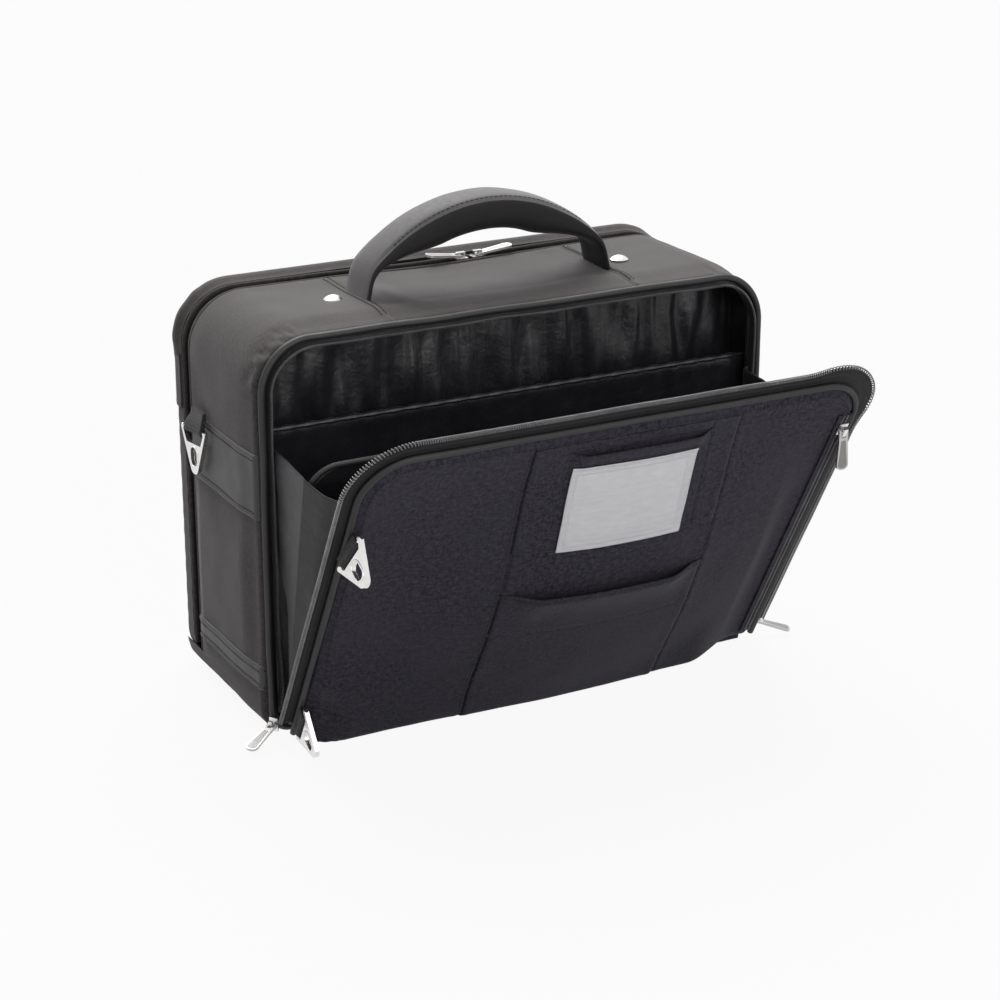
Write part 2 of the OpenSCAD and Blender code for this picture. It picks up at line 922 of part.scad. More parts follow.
// Three-cornered strap ring hanging from its bar, which lies along Y
module strap_ring(length) {
    corner_r = ring_bar_r;
    top_x = ring_w / 2 - corner_r;
    slot_top = ring_w / 2 - ring_arm_w;
    slot_depth = length - ring_plate;
    slot_low = slot_top - slot_depth * (top_x - ring_tip_r) / (length - ring_tip_r) - 0.5;
    eye_z = -length + ring_tip_r + ring_eye_r + 4;
    color(metal) {
        rotate([90, 0, 0]) translate([0, 0, -ring_w / 2])
            cylinder(r = ring_bar_r, h = ring_w);
        rotate([90, 0, 90]) translate([0, 0, -ring_t / 2]) linear_extrude(ring_t)
            difference() {
                soft_plate(
                    [[0, -length + ring_tip_r], [top_x, 0], [-top_x, 0]],
                    [ring_tip_r, corner_r, corner_r]
                );
                polygon([
                    [-slot_top, 2 * corner_r],
                    [-slot_top, -corner_r],
                    [-slot_low, -slot_depth],
                    [slot_low, -slot_depth],
                    [slot_top, -corner_r],
                    [slot_top, 2 * corner_r]
                ]);
                for (end = [-1, 1])
                    translate([0, eye_z + end * 2.7]) circle(ring_eye_r);
                translate([-ring_eye_r, eye_z - 2.7])
                    square([2 * ring_eye_r, 5.4]);
            }
    }
}

module side_strap_ring() {
    at_side_ring() rotate([0, 0, side_ring_turn]) strap_ring(ring_len);
}

module left_strap_ring() {
    side_strap_ring();
}

module right_strap_ring() {
    mirror([1, 0, 0]) side_strap_ring();
}

module upper_flap_ring() {
    at_flap_ring(upper_ring_v, upper_ring_turn) rotate([180, 0, 0]) strap_ring(flap_ring_len);
}

module lower_flap_ring() {
    at_flap_ring(lower_ring_v, 0) rotate([180, 0, 0]) strap_ring(flap_ring_len);
}

module at_main_slider(i) {
    translate([main_slider_x[i], -chain_f, bag_h + rear_zip_o + slider_lift])
        children();
}

module left_main_slider() {
    at_main_slider(0) slider(2 * chain_gap + 2 * coil_r);
}

module right_main_slider() {
    at_main_slider(1) slider(2 * chain_gap + 2 * coil_r);
}

module left_main_pull() {
    at_main_slider(0) rotate([0, main_pull_lift - 180, 0]) pull();
}

module right_main_pull() {
    at_main_slider(1) rotate([0, -main_pull_lift, 0]) pull();
}

module at_pocket_slider() {
    on_flap() translate([pocket_zip_x, pocket_slider_v, pocket_zip_t + slider_lift])
        rotate([0, 0, 90]) children();
}

module pocket_slider() {
    at_pocket_slider() slider(0);
}

// Hangs straight down from the leaning flap
module pocket_pull() {
    at_pocket_slider() rotate([0, flap_open - 180, 0]) pull();
}

body_shell();
rear_sill();
base_board();
partition_wall();
document_divider();
front_rim_piping();
front_rim_zip();
rear_rim_piping();
rear_rim_zip();
left_side_band();
right_side_band();
left_trim_strip();
right_trim_strip();
left_ring_loop();
right_ring_loop();
handle_roots();
handle_rivets();
handle_plates();
flap_hinge_strip();
left_rear_gusset();
right_rear_gusset();
left_front_gusset();
right_front_gusset();
left_flap_slider();
right_flap_slider();
flap_panel();
flap_piping();
flap_zip();
upper_pocket();
lower_pocket();
card_window();
id_card();
pocket_zip();
upper_flap_loop();
lower_flap_loop();
laptop_divider();
divider_binding();
lid_panel();
lid_piping();
lid_zip();
trolley_strap();
handle_grip();
left_strap_ring();
right_strap_ring();
upper_flap_ring();
lower_flap_ring();
left_main_slider();
right_main_slider();
left_main_pull();
right_main_pull();
pocket_slider();
pocket_pull();
left_flap_pull();
right_flap_pull();
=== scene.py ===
"""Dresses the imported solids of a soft-sided flight bag: cloth, padding, piping, zips and metal.

Lengths in the code are millimetres in the bag's own frame, +Z up and the flap towards -Y,
and turn into metres when a mesh is made.
"""

import math

import bmesh
import bpy
import numpy as np
from bpy.props import FloatProperty, FloatVectorProperty, PointerProperty
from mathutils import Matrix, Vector, noise


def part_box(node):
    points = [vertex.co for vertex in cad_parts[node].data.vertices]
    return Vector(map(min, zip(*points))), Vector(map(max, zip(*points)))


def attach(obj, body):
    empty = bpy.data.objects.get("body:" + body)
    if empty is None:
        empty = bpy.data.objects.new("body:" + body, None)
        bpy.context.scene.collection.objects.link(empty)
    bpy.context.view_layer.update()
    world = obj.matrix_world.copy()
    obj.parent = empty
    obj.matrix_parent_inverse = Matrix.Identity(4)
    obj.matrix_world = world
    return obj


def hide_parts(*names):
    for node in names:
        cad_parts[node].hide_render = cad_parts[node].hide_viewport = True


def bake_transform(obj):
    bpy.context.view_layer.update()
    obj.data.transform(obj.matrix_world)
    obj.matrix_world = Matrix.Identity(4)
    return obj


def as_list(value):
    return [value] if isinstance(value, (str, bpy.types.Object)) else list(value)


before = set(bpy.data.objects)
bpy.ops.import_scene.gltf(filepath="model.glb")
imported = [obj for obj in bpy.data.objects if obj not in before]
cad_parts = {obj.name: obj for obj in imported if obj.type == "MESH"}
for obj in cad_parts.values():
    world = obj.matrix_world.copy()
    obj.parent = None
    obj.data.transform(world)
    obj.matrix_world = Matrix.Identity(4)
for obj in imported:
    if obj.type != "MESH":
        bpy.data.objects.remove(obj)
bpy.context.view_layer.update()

bl_info = {
    "name": "Flight bag",
    "version": (1, 0, 0),
    "blender": (4, 5, 0),
    "location": "View3D > Sidebar > Flight bag",
    "description": "Builds the cloth, trim and metal of a flight bag round its solids",
    "category": "Object",
}

MM = 0.001
WARM, COOL = (1.05, 0.97, 0.98), (0.96, 1.0, 1.04)

# Body
HALF_W, BAG_H = 205.0, 295.0
TOP_R, LOW_R = 42.0, 18.0
WALL, ROLL_R, LIP_W = 4.0, 7.0, 4.0
FRONT_F, REAR_F = 66.0, -44.0
LIP_F = FRONT_F + ROLL_R
ZIP_LOW = LOW_R + 4
PIPING_R = 2.6
PIPING_F = FRONT_F + math.sqrt((ROLL_R + PIPING_R + 0.2) ** 2 - 4)
CHAIN_F = REAR_F - 8.5
LID_F = CHAIN_F - 8.5
LID_ROLL_F = LID_F - 10.0
LID_BACK_F = LID_ROLL_F - ROLL_R
LID_LOW = 9.5
LID_LIP_R = 3.2
REAR_ZIP_O = -4.2
RIM_PIPING_R = 1.8
RIM_PIPING_O = REAR_ZIP_O + 0.8 + RIM_PIPING_R
TAPE_T = 1.0
SIDES = ("left", -1), ("right", 1)

# Flap
FLAP_F, FLAP_Z = PIPING_F + PIPING_R + 7.4, 4.9
FLAP_OPEN = math.radians(29)
FLAP_HALF, FLAP_LOW, FLAP_HIGH = 189.5, 3.8, 279.5
FLAP_R = 32.0
FLAP_T = 7.5
FLAP_TAPE_W = 12.0
CROWN, CROWN_REACH = 26.0, 165.0
CROWN_X, CROWN_V = 20.0, 98.0
CROWN_R = (CROWN_REACH**2 + CROWN**2) / (2 * CROWN)
POCKET_L, POCKET_R = -71.0, 89.0
LOW_MOUTH, MID_SEAM, HIGH_MOUTH = 145.0, 182.0, 264.0
SLIT_L, SLIT_R = -42.0, 67.0
POCKET_TOP = FLAP_HIGH - 6.0
TACK_V = 103.5
WINDOW_X, WINDOW_V = 9.0, 218.5
WINDOW_W, WINDOW_H = 97.0, 71.0
CARD_W, CARD_H = 85.6, 54.0
POCKET_ZIP_X = FLAP_HALF - 7.0
POCKET_ZIP_TOP = FLAP_HIGH - FLAP_R + 6
POCKET_ZIP_REACH = 14.0
UPPER_RING_V, UPPER_RING_TURN = FLAP_HIGH * 0.745, math.radians(17)
LOWER_RING_V = 27.0
FLAP_RING_X, FLAP_RING_T = -(FLAP_HALF + 2.6), FLAP_T + 6.0

# Dividers
DIV_F, DIV_Z = PIPING_F + PIPING_R + 4.8, 6.0
DIV_OPEN = math.radians(11.9)
DIV_HALF, DIV_LOW, DIV_HIGH = 187.2, 3.4, 212.0
DIV_R = 20.0
PARTITION_F = 34.5
DOCUMENT_F, DOCUMENT_H = 63.0, 224.0
GUSSET_X = HALF_W - ROLL_R - LIP_W - 1.0
GUSSET_LOW, GUSSET_HIGH, GUSSET_TIP = 16.0, 217.0, 232.0
FOLD_Z = [16, 41, 78, 107, 133, 154, 217]
FOLD_Y = [-84, -87, -88.5, -86, -78, -72, -71]

# Handle
HANDLE_Y = -12.0
HANDLE_R, HANDLE_Z = 125.0, 234.5
HANDLE_W, HANDLE_T, STRAP_T = 38.0, 26.0, 5.0
GRIP_SEAM = 0.84
TOP_SEAM_X, SAG_REACH = 96.0, 74.0

# Side trim and rings
BAND_Z, BAND_H = 162.0, 48.0
STRIP_Z, STRIP_H = 34.0, 18.0
TRIM_FRONT, TRIM_T = -70.8, 1.2
RING_TURN = math.radians(10)
RING_X, RING_Y, RING_Z = HALF_W + 5.0 + 16 * math.sin(RING_TURN), 20.0, 203.0
RING_LEN, FLAP_RING_LEN = 33.0, 28.0
LOOP_W = 22.0

# Zip pulls
MAIN_PULL_X, MAIN_PULL_LIFT = (17.0, 31.0), math.radians(7)
PARKED_PULL = 203.0, -(PIPING_F + PIPING_R + 3.8), 12.0
PARKED_TURN, PARKED_DROOP = math.radians(211.6), math.radians(15)

# Camera, in metres and its sensor and lens in millimetres
CAMERA_AT, CAMERA_AIM = (-0.8073, -1.5621, 0.7723), (0.02276, 0.0, 0.11548)
CAMERA_LENS, CAMERA_WIDTH = 89.45, 36.0


def dye(name, description, default):
    return FloatVectorProperty(
        name=name, description=description, subtype="COLOR", size=3, min=0, max=1, default=default)


def span(name, description, low, high, default):
    return FloatProperty(
        name=name, description=description, unit="LENGTH", min=low, max=high, default=default)


class BagColours(bpy.types.PropertyGroup):
    """Colours of the bag's cloth, trim and metal."""

    side_cloth: dye("Side cloth", "Woven cloth of the body and lid", (0.056, 0.05, 0.048))
    flap_cloth: dye("Flap cloth", "Woven cloth of the flap and its pockets", (0.037, 0.034, 0.045))
    lining: dye("Lining", "Thin nylon inside the bag", (0.018, 0.0175, 0.021))
    gusset: dye("Gusset", "Nylon of the side gussets", (0.025, 0.024, 0.028))
    edging: dye("Edging", "Smooth piping round the rims", (0.014, 0.0135, 0.015))
    leatherette: dye("Leatherette", "Side bands, lower strips and handle cover", (0.034, 0.0315, 0.033))
    webbing: dye("Webbing", "Loops that hold the rings", (0.016, 0.015, 0.017))
    coil: dye("Zip coil", "Nylon coil of the zips", (0.2, 0.2, 0.205))
    nickel: dye("Nickel", "Rings, rivets, sliders and pulls", (0.8, 0.79, 0.78))


class BagSizes(bpy.types.PropertyGroup):
    """Sizes of the bag's sewing and weave, in metres."""

    weave: span("Weave", "Pitch of the cloth's yarns", 0.0004, 0.004, 0.0013)
    stitch: span("Stitch", "Length of one stitch", 0.001, 0.008, 0.0028)
    stitch_gap: span("Stitch gap", "Gap between two stitches", 0.0003, 0.004, 0.0011)
    coil_pitch: span("Coil pitch", "Length of one turn of a zip's coil", 0.001, 0.004, 0.0017)
    slack: span("Slack", "Depth of the body cloth's soft waves", 0, 0.004, 0.0012)
    pleat: span("Pleat", "Depth of the gathers in the lining", 0, 0.006, 0.0036)


def sizes():
    return bpy.context.scene.bag_sizes


def colour(name):
    return tuple(getattr(bpy.context.scene.bag_colours, name))


# Finishes


class Signal:
    """A shader value that takes part in Python arithmetic by adding Math nodes."""

    def __init__(self, finish, socket):
        self.finish, self.socket = finish, socket

    def __add__(self, other):
        return self.finish.maths("ADD", self, other)

    def __sub__(self, other):
        return self.finish.maths("SUBTRACT", self, other)

    def __rsub__(self, other):
        return self.finish.maths("SUBTRACT", other, self)

    def __mul__(self, other):
        return self.finish.maths("MULTIPLY", self, other)

    def __truediv__(self, other):
        return self.finish.maths("DIVIDE", self, other)

    def __rtruediv__(self, other):
        return self.finish.maths("DIVIDE", other, self)

    def __pow__(self, other):
        return self.finish.maths("POWER", self, other)

    __radd__ = __add__
    __rmul__ = __mul__


class Nodes:
    """A node tree, with the helpers that draw its nodes."""

    def __init__(self, tree):
        self.tree = tree
        tree.nodes.clear()

    def plug(self, socket, value):
        if isinstance(value, Signal):
            value = value.socket
        if isinstance(value, bpy.types.NodeSocket):
            self.tree.links.new(value, socket)
        elif value is not None:
            if hasattr(socket.default_value, "__len__") and len(socket.default_value) == 4:
                value = (*value[:3], 1.0)
            socket.default_value = value

    def node(self, kind, settings=None, inputs=None, output=0):
        made = self.tree.nodes.new("ShaderNode" + kind)
        for key, value in (settings or {}).items():
            setattr(made, key, value)
        for key, value in (inputs or {}).items():
            self.plug(made.inputs[key], value)
        return Signal(self, made.outputs[output]) if made.outputs else None

    def maths(self, operation, a, b=None):
        return self.node("Math", {"operation": operation}, {0: a, 1: b})

    def mix(self, factor, a, b):
        return self.node("Mix", {"data_type": "RGBA"}, {0: factor, 6: a, 7: b}, output=2)

    def scaled(self, place, scale):
        return self.node("VectorMath", {"operation": "MULTIPLY"}, {0: place, 1: scale})

    def cloth_place(self):
        return self.node("TexCoord", output=2)

    def solid_place(self):
        return self.node("TexCoord", output=3)

    def parts(self, place):
        split = self.node("SeparateXYZ", None, {0: place}).socket.node
        return [Signal(self, s) for s in split.outputs]

    def cloud(self, place, size, detail=3.0, roughness=0.5):
        """Noise from 0 to 1 with features of about that size in metres."""
        return self.node(
            "TexNoise", None,
            {"Vector": place, "Scale": 1 / size, "Detail": detail, "Roughness": roughness})

    def ramp(self, value, low, high):
        """0 below low, 1 above high."""
        return self.node("MapRange", {"clamp": True}, {0: value, 1: low, 2: high, 3: 0.0, 4: 1.0})

    def bump(self, height, depth, under=None):
        return self.node("Bump", None, {"Distance": depth, "Height": height, "Normal": under})

    def seen_rays(self):
        """1 for rays that show the background: straight ones, reflected ones and through film."""
        rays = self.node("LightPath").socket.node.outputs
        shown = self.maths("MAXIMUM", rays["Is Camera Ray"], rays["Is Glossy Ray"])
        return self.maths("MAXIMUM", shown, rays["Is Transmission Ray"])


class Finish(Nodes):
    """One material round a Principled shader."""

    def __init__(self, name):
        self.material = bpy.data.materials.new(name)
        self.material.use_nodes = True
        super().__init__(self.material.node_tree)
        self.shader = self.node("BsdfPrincipled")

    def finish(self, surface=None, **sockets):
        inputs = self.shader.socket.node.inputs
        for key, value in sockets.items():
            self.plug(inputs[key.replace("_", " ")], value)
        self.node("OutputMaterial", None, {"Surface": surface or self.shader})
        return self.material


def shade(base, factor):
    """A colour made darker or lighter."""
    return tuple(min(1.0, c * factor) for c in base)


def weave_height(f, place, pitch):
    """Plain weave: yarns that rise and dip over each other."""
    u, v, _ = f.parts(f.scaled(place, (2 * math.pi / pitch,) * 3))
    return f.maths("SINE", u) * f.maths("SINE", v) * 0.5 + 0.5


def woven_cloth(name, base, sheen=0.35, gloss=0.12, depth=0.00022, fleck=0.45):
    """Matte woven polyester with slubs, faded patches and a soft sheen."""
    f = Finish(name)
    spot, solid = f.cloth_place(), f.solid_place()
    weave = weave_height(f, spot, sizes().weave)
    slub = f.cloud(f.scaled(spot, (1.0, 0.45, 1.0)), 0.002, 3.0, 0.8)
    slub_across = f.cloud(f.scaled(spot, (0.45, 1.0, 1.0)), 0.0023, 3.0, 0.8)
    patch = f.cloud(solid, 0.07, 4.0, 0.6)
    worn = f.cloud(solid, 0.018, 5.0, 0.65)
    tone = f.ramp(slub * 0.5 + slub_across * 0.5, 0.4, 0.6)
    warm, cool = ([c * k for c, k in zip(shade(base, 1 + 1.05 * fleck), tint)] for tint in (WARM, COOL))
    yarn = f.mix(f.ramp(f.cloud(solid, 0.005, 3.0, 0.6), 0.4, 0.6), warm, cool)
    dull = f.mix(tone, shade(base, 1 - fleck), yarn)
    faded = f.mix(f.ramp(patch, 0.42, 0.75) * 0.5, dull, shade(base, 1.4))
    dusty = f.mix(f.ramp(worn, 0.6, 0.85) * 0.14, faded, shade(base, 2.1))
    pile = f.bump(weave * 0.6 + slub * 0.6 + slub_across * 0.6, depth)
    return f.finish(
        Base_Color=dusty, Roughness=0.56 + 0.2 * tone, Normal=pile,
        Specular_IOR_Level=gloss, Sheen_Weight=sheen, Sheen_Roughness=0.4,
        Sheen_Tint=(0.9, 0.88, 0.9))


def thin_nylon(name, base, rough):
    """Closely woven lining nylon: a soft gloss and small creases."""
    f = Finish(name)
    solid = f.solid_place()
    rib = weave_height(f, f.cloth_place(), 0.0011)
    crease = f.cloud(solid, 0.011, 4.0, 0.6)
    wave = f.cloud(solid, 0.05, 2.0, 0.5)
    tint = f.mix(f.ramp(wave, 0.35, 0.7), shade(base, 0.8), shade(base, 1.25))
    fold = f.bump(crease, 0.0008)
    face = f.bump(rib, 0.00005, fold)
    return f.finish(
        Base_Color=tint, Roughness=rough + 0.14 * crease, Normal=face,
        Specular_IOR_Level=0.5, Sheen_Weight=0.15, Sheen_Roughness=0.35)


def smooth_vinyl(name, base, rough, grain=0.00007):
    """Leather-like vinyl: pebbled grain, rubbed lighter on its high places."""
    f = Finish(name)
    spot = f.solid_place()
    pebble = f.node(
        "TexVoronoi", {"feature": "SMOOTH_F1"}, {"Vector": spot, "Scale": 700.0, "Smoothness": 0.6})
    rub = f.cloud(spot, 0.02, 5.0, 0.6)
    wash = f.cloud(spot, 0.09, 2.0, 0.5)
    base_tone = f.mix(f.ramp(wash, 0.35, 0.7), shade(base, 0.85), shade(base, 1.18))
    tone = f.mix(f.ramp(rub, 0.55, 0.8) * 0.25, base_tone, shade(base, 1.9))
    skin = f.bump(pebble, grain)
    return f.finish(
        Base_Color=tone, Roughness=rough + 0.22 * rub, Normal=skin,
        Specular_IOR_Level=0.5, Coat_Roughness=0.4, Coat_Weight=0.06)


def tape_weave(name, base):
    """Zip tape: a fine herringbone with a selvedge."""
    f = Finish(name)
    u, v, _ = f.parts(f.cloth_place())
    zig = f.maths("PINGPONG", v, 0.0016)
    twill = f.maths("SINE", (u + zig) * (2 * math.pi / 0.0014)) * 0.5 + 0.5
    lint = f.cloud(f.solid_place(), 0.006, 4.0, 0.6)
    tone = f.mix(twill * 0.6 + lint * 0.4, shade(base, 0.7), shade(base, 1.35))
    return f.finish(
        Base_Color=tone, Roughness=0.7 + 0.2 * lint, Normal=f.bump(twill, 0.00012),
        Sheen_Weight=0.1, Specular_IOR_Level=0.25)


def ribbed_webbing(name, base):
    """Strap webbing with ribs across its width."""
    f = Finish(name)
    u, v, _ = f.parts(f.cloth_place())
    rib = f.maths("SINE", u * (2 * math.pi / 0.0022)) * 0.5 + 0.5
    yarn = f.maths("SINE", v * (2 * math.pi / 0.0011)) * 0.5 + 0.5
    lint = f.cloud(f.solid_place(), 0.004, 4.0, 0.6)
    tone = f.mix(rib * 0.5 + yarn * 0.2 + lint * 0.3, shade(base, 0.6), shade(base, 1.9))
    return f.finish(
        Base_Color=tone, Roughness=0.72 + 0.2 * lint, Normal=f.bump(rib + yarn * 0.4, 0.0003),
        Sheen_Weight=0.25)


def coil_nylon(name, base):
    """Moulded nylon of the zip coils."""
    f = Finish(name)
    grime = f.cloud(f.solid_place(), 0.008, 4.0, 0.6)
    tone = f.mix(f.ramp(grime, 0.35, 0.75), shade(base, 1.15), shade(base, 0.65))
    return f.finish(Base_Color=tone, Roughness=0.32 + 0.25 * grime, Specular_IOR_Level=0.5)


def plated_metal(name, base, rough=0.14):
    """Nickel plate with faint polishing lines and dulled hollows."""
    f = Finish(name)
    spot = f.solid_place()
    haze = f.cloud(spot, 0.006, 4.0, 0.6)
    lines = f.cloud(f.scaled(spot, (1.0, 1.0, 14.0)), 0.004, 3.0, 0.6)
    scratch = f.ramp(f.cloud(f.scaled(spot, (9.0, 1.0, 2.0)), 0.003, 2.0, 0.8), 0.62, 0.7)
    tone = f.mix(f.ramp(haze, 0.4, 0.8) * 0.5, base, shade(base, 0.78))
    return f.finish(
        Base_Color=tone, Metallic=1.0, Roughness=rough + 0.16 * haze + 0.1 * scratch,
        Normal=f.bump(lines, 0.00002))


def sewing_thread(name, base):
    """Twisted bonded thread."""
    f = Finish(name)
    twist = f.cloud(f.solid_place(), 0.0011, 2.0, 0.5)
    tone = f.mix(twist, shade(base, 0.7), shade(base, 1.5))
    return f.finish(Base_Color=tone, Roughness=0.75 + 0.2 * twist, Normal=f.bump(twist, 0.0001),
                    Specular_IOR_Level=0.2)


def clear_film(name):
    """Cloudy flexible window film with scuffs."""
    f = Finish(name)
    spot = f.solid_place()
    scuff = f.cloud(f.scaled(spot, (1.0, 1.0, 4.0)), 0.012, 5.0, 0.7)
    wave = f.cloud(spot, 0.03, 2.0, 0.5)
    tone = f.mix(f.ramp(scuff, 0.4, 0.75), (0.86, 0.85, 0.87), (0.93, 0.92, 0.935))
    return f.finish(
        Base_Color=tone, Roughness=0.2 + 0.25 * scuff, Alpha=0.58 + 0.12 * scuff,
        Normal=f.bump(wave, 0.0012), Specular_IOR_Level=1.0)


def plain_card(name):
    """Uncoated card with a fine tooth."""
    f = Finish(name)
    tooth = f.cloud(f.solid_place(), 0.0012, 3.0, 0.6)
    u, v, _ = f.parts(f.cloth_place())
    across = f.maths("ABSOLUTE", u - CARD_W * MM / 2)
    up = f.maths("ABSOLUTE", v - CARD_H * MM / 2)
    edge = f.maths("MAXIMUM", across - (CARD_W / 2 - 4) * MM, up - (CARD_H / 2 - 4) * MM)
    line = 1 - f.ramp(f.maths("ABSOLUTE", edge), 0.0002, 0.0005)
    paper = f.mix(tooth, (0.9, 0.89, 0.9), (0.95, 0.94, 0.95))
    return f.finish(
        Base_Color=f.mix(line * 0.6, paper, (0.62, 0.61, 0.64)),
        Roughness=0.7 + 0.2 * tooth, Normal=f.bump(tooth, 0.00006))


FINISHES = {}


def finish_of(name):
    """The bag's finishes, each made once when it is first used."""
    makers = {
        "side_cloth": lambda: woven_cloth("side_cloth", colour("side_cloth")),
        "flap_cloth": lambda: woven_cloth("flap_cloth", colour("flap_cloth"), 0.1, 0.07, fleck=0.66),
        "lining": lambda: thin_nylon("lining_nylon", colour("lining"), 0.26),
        "gusset": lambda: thin_nylon("gusset_nylon", colour("gusset"), 0.42),
        # Gusset nylon painted darker: painted shade on the front gusset, deep between the laptop divider
        # and the flap.
        "deep_gusset": lambda: thin_nylon("deep_gusset", shade(colour("gusset"), 0.55), 0.42),
        "edging": lambda: smooth_vinyl("edging_vinyl", colour("edging"), 0.46, 0.00003),
        "flap_edging": lambda: smooth_vinyl("flap_edging", shade(colour("edging"), 0.75), 0.5, 0.00003),
        "leatherette": lambda: smooth_vinyl("leatherette", colour("leatherette"), 0.42),
        "handle_cover": lambda: woven_cloth(
            "handle_cover", shade(colour("leatherette"), 1.45), 0.6, 0.45, 0.0001),
        # The grip's underside: its own darker panel, painted darker still as shade.
        "handle_underside": lambda: woven_cloth(
            "handle_underside", shade(colour("leatherette"), 0.4), 0.15, 0.25, 0.0001),
        "zip_tape": lambda: tape_weave("zip_tape", colour("edging")),
        "webbing": lambda: ribbed_webbing("webbing", colour("webbing")),
        "coil": lambda: coil_nylon("coil_nylon", colour("coil")),
        "nickel": lambda: plated_metal("nickel", colour("nickel")),
        "satin_nickel": lambda: plated_metal("satin_nickel", shade(colour("nickel"), 0.62), 0.3),
        "thread": lambda: sewing_thread("thread", shade(colour("side_cloth"), 0.3)),
        "flap_thread": lambda: sewing_thread("flap_thread", shade(colour("flap_cloth"), 0.8)),
        "dark_metal": lambda: plated_metal("dark_metal", shade(colour("nickel"), 0.3), 0.34),
        "film": lambda: clear_film("window_film"),
        "card": lambda: plain_card("card"),
    }
    if name not in FINISHES:
        FINISHES[name] = makers[name]()
    return FINISHES[name]


# Shapes


def smooth(t):
    """Eased step from 0 at 0 to 1 at 1."""
    t = np.clip(t, 0, 1)
    return t * t * (3 - 2 * t)


def ridge(x, width):
    """Bell of height 1 at 0."""
    return np.exp(-((x / width) ** 2))


def unit(vectors):
    return vectors / np.linalg.norm(vectors, axis=-1, keepdims=True)


def points_of(*coordinates):
    """Points from arrays of their coordinates."""
    return np.stack(np.broadcast_arrays(*coordinates), -1)


def crossed(rows, columns):
    """Every pair of a row's value and a column's value, as a grid of pairs."""
    return points_of(rows[:, None], columns[None])


def run_lengths(points):
    """Length along a row of points, from 0 at the first."""
    steps = np.linalg.norm(np.diff(np.asarray(points, float), axis=0), axis=1)
    return np.concatenate([[0], np.cumsum(steps)])


def eased(track, count, passes):
    """Even points along a track with its bends rounded, and their run."""
    track = np.asarray(track, float)
    far = run_lengths(track)
    run = np.linspace(0, far[-1], count)
    made = np.stack([np.interp(run, far, column) for column in track.T], 1)
    for _ in range(passes):
        made[1:-1] = (made[:-2] + 2 * made[1:-1] + made[2:]) / 4
    return made, run


def tube(centre, side, up, radius, sides):
    """Rings of points round a row of points, and the angles round a ring."""
    ring = np.linspace(0, 2 * math.pi, sides, endpoint=False)
    c, s = (wave[None, :, None] for wave in (np.cos(ring), np.sin(ring)))
    return centre[:, None] + radius * (c * side[:, None] + s * up[:, None]), ring


def soft_noise(points, size, seed=0.0):
    """Perlin noise at an array of points, from about -1 to 1."""
    flat = np.asarray(points, float).reshape(-1, points.shape[-1])
    if flat.shape[1] == 2:
        flat = np.column_stack([flat, np.zeros(len(flat))])
    spots = flat / size + seed
    made = np.fromiter((noise.noise(Vector(p)) for p in spots), float, len(spots))
    return made.reshape(points.shape[:-1])


def ripple(run, pitch, drift, reach, seed=0.0):
    """A wave along a run that drifts in and out of step."""
    return np.sin(run / pitch + drift * soft_noise(points_of(run / reach, 0 * run), 1.0, seed))


def upright(x, z, forward):
    """Points by across, up and forward, in the bag's frame."""
    return points_of(x, -np.asarray(forward, float), z)


def leaning(x, v, t, hinge_f, hinge_z, lean):
    """Points by across, up a leaning panel and out of its front."""
    s, c = math.sin(lean), math.cos(lean)
    y = -(hinge_f + np.asarray(v) * s + np.asarray(t) * c)
    z = hinge_z + np.asarray(v) * c - np.asarray(t) * s
    return points_of(np.asarray(x, float), y, z)


def on_flap(x, v, t):
    return leaning(x, v, t, FLAP_F, FLAP_Z, FLAP_OPEN)


def on_divider(x, v, t):
    return leaning(x, v, t, DIV_F, DIV_Z, DIV_OPEN)


def piece(name, points, faces, finishes, uv=None, face_finish=None, flat=False):
    """A mesh object from points in millimetres."""
    mesh = bpy.data.meshes.new(name)
    mesh.from_pydata((np.asarray(points, float) * MM).tolist(), [], [list(f) for f in faces])
    if uv is not None:
        layer = mesh.uv_layers.new(name="cloth")
        corner = np.zeros(len(mesh.loops), np.int32)
        mesh.loops.foreach_get("vertex_index", corner)
        layer.data.foreach_set("uv", (np.asarray(uv, float)[corner] * MM).ravel())
    for name_of in [finishes] if isinstance(finishes, str) else finishes:
        mesh.materials.append(finish_of(name_of))
    if face_finish is not None:
        mesh.polygons.foreach_set("material_index", np.asarray(face_finish, np.int32))
    mesh.polygons.foreach_set("use_smooth", np.full(len(mesh.polygons), not flat))
    work = bmesh.new()
    work.from_mesh(mesh)
    bmesh.ops.recalc_face_normals(work, faces=work.faces)
    work.to_mesh(mesh)
    work.free()
    made = bpy.data.objects.new(name, mesh)
    bpy.context.scene.collection.objects.link(made)
    return made


def lattice_faces(rows, columns, start=0, wrap=False):
    """Quads of a grid of points; wrap joins its last column to its first."""
    last = columns if wrap else columns - 1
    i, j = np.meshgrid(np.arange(rows - 1), np.arange(last), indexing="ij")
    k = (j + 1) % columns
    quads = points_of(i * columns + j, i * columns + k, (i + 1) * columns + k, (i + 1) * columns + j)
    return (quads.reshape(-1, 4) + start).tolist()


def lattice(name, grid, uv, finishes, wrap=False, caps=False, face_finish=None):
    """An object from a grid of points, rows along the run and columns round the section."""
    rows, columns = grid.shape[:2]
    faces = lattice_faces(rows, columns, wrap=wrap)
    if caps:
        faces += [list(range(columns))[::-1], list(range((rows - 1) * columns, rows * columns))]
        if face_finish is not None:
            face_finish = list(face_finish) + [0, 0]
    return piece(
        name, grid.reshape(-1, 3), faces, finishes, uv.reshape(-1, 2), face_finish)


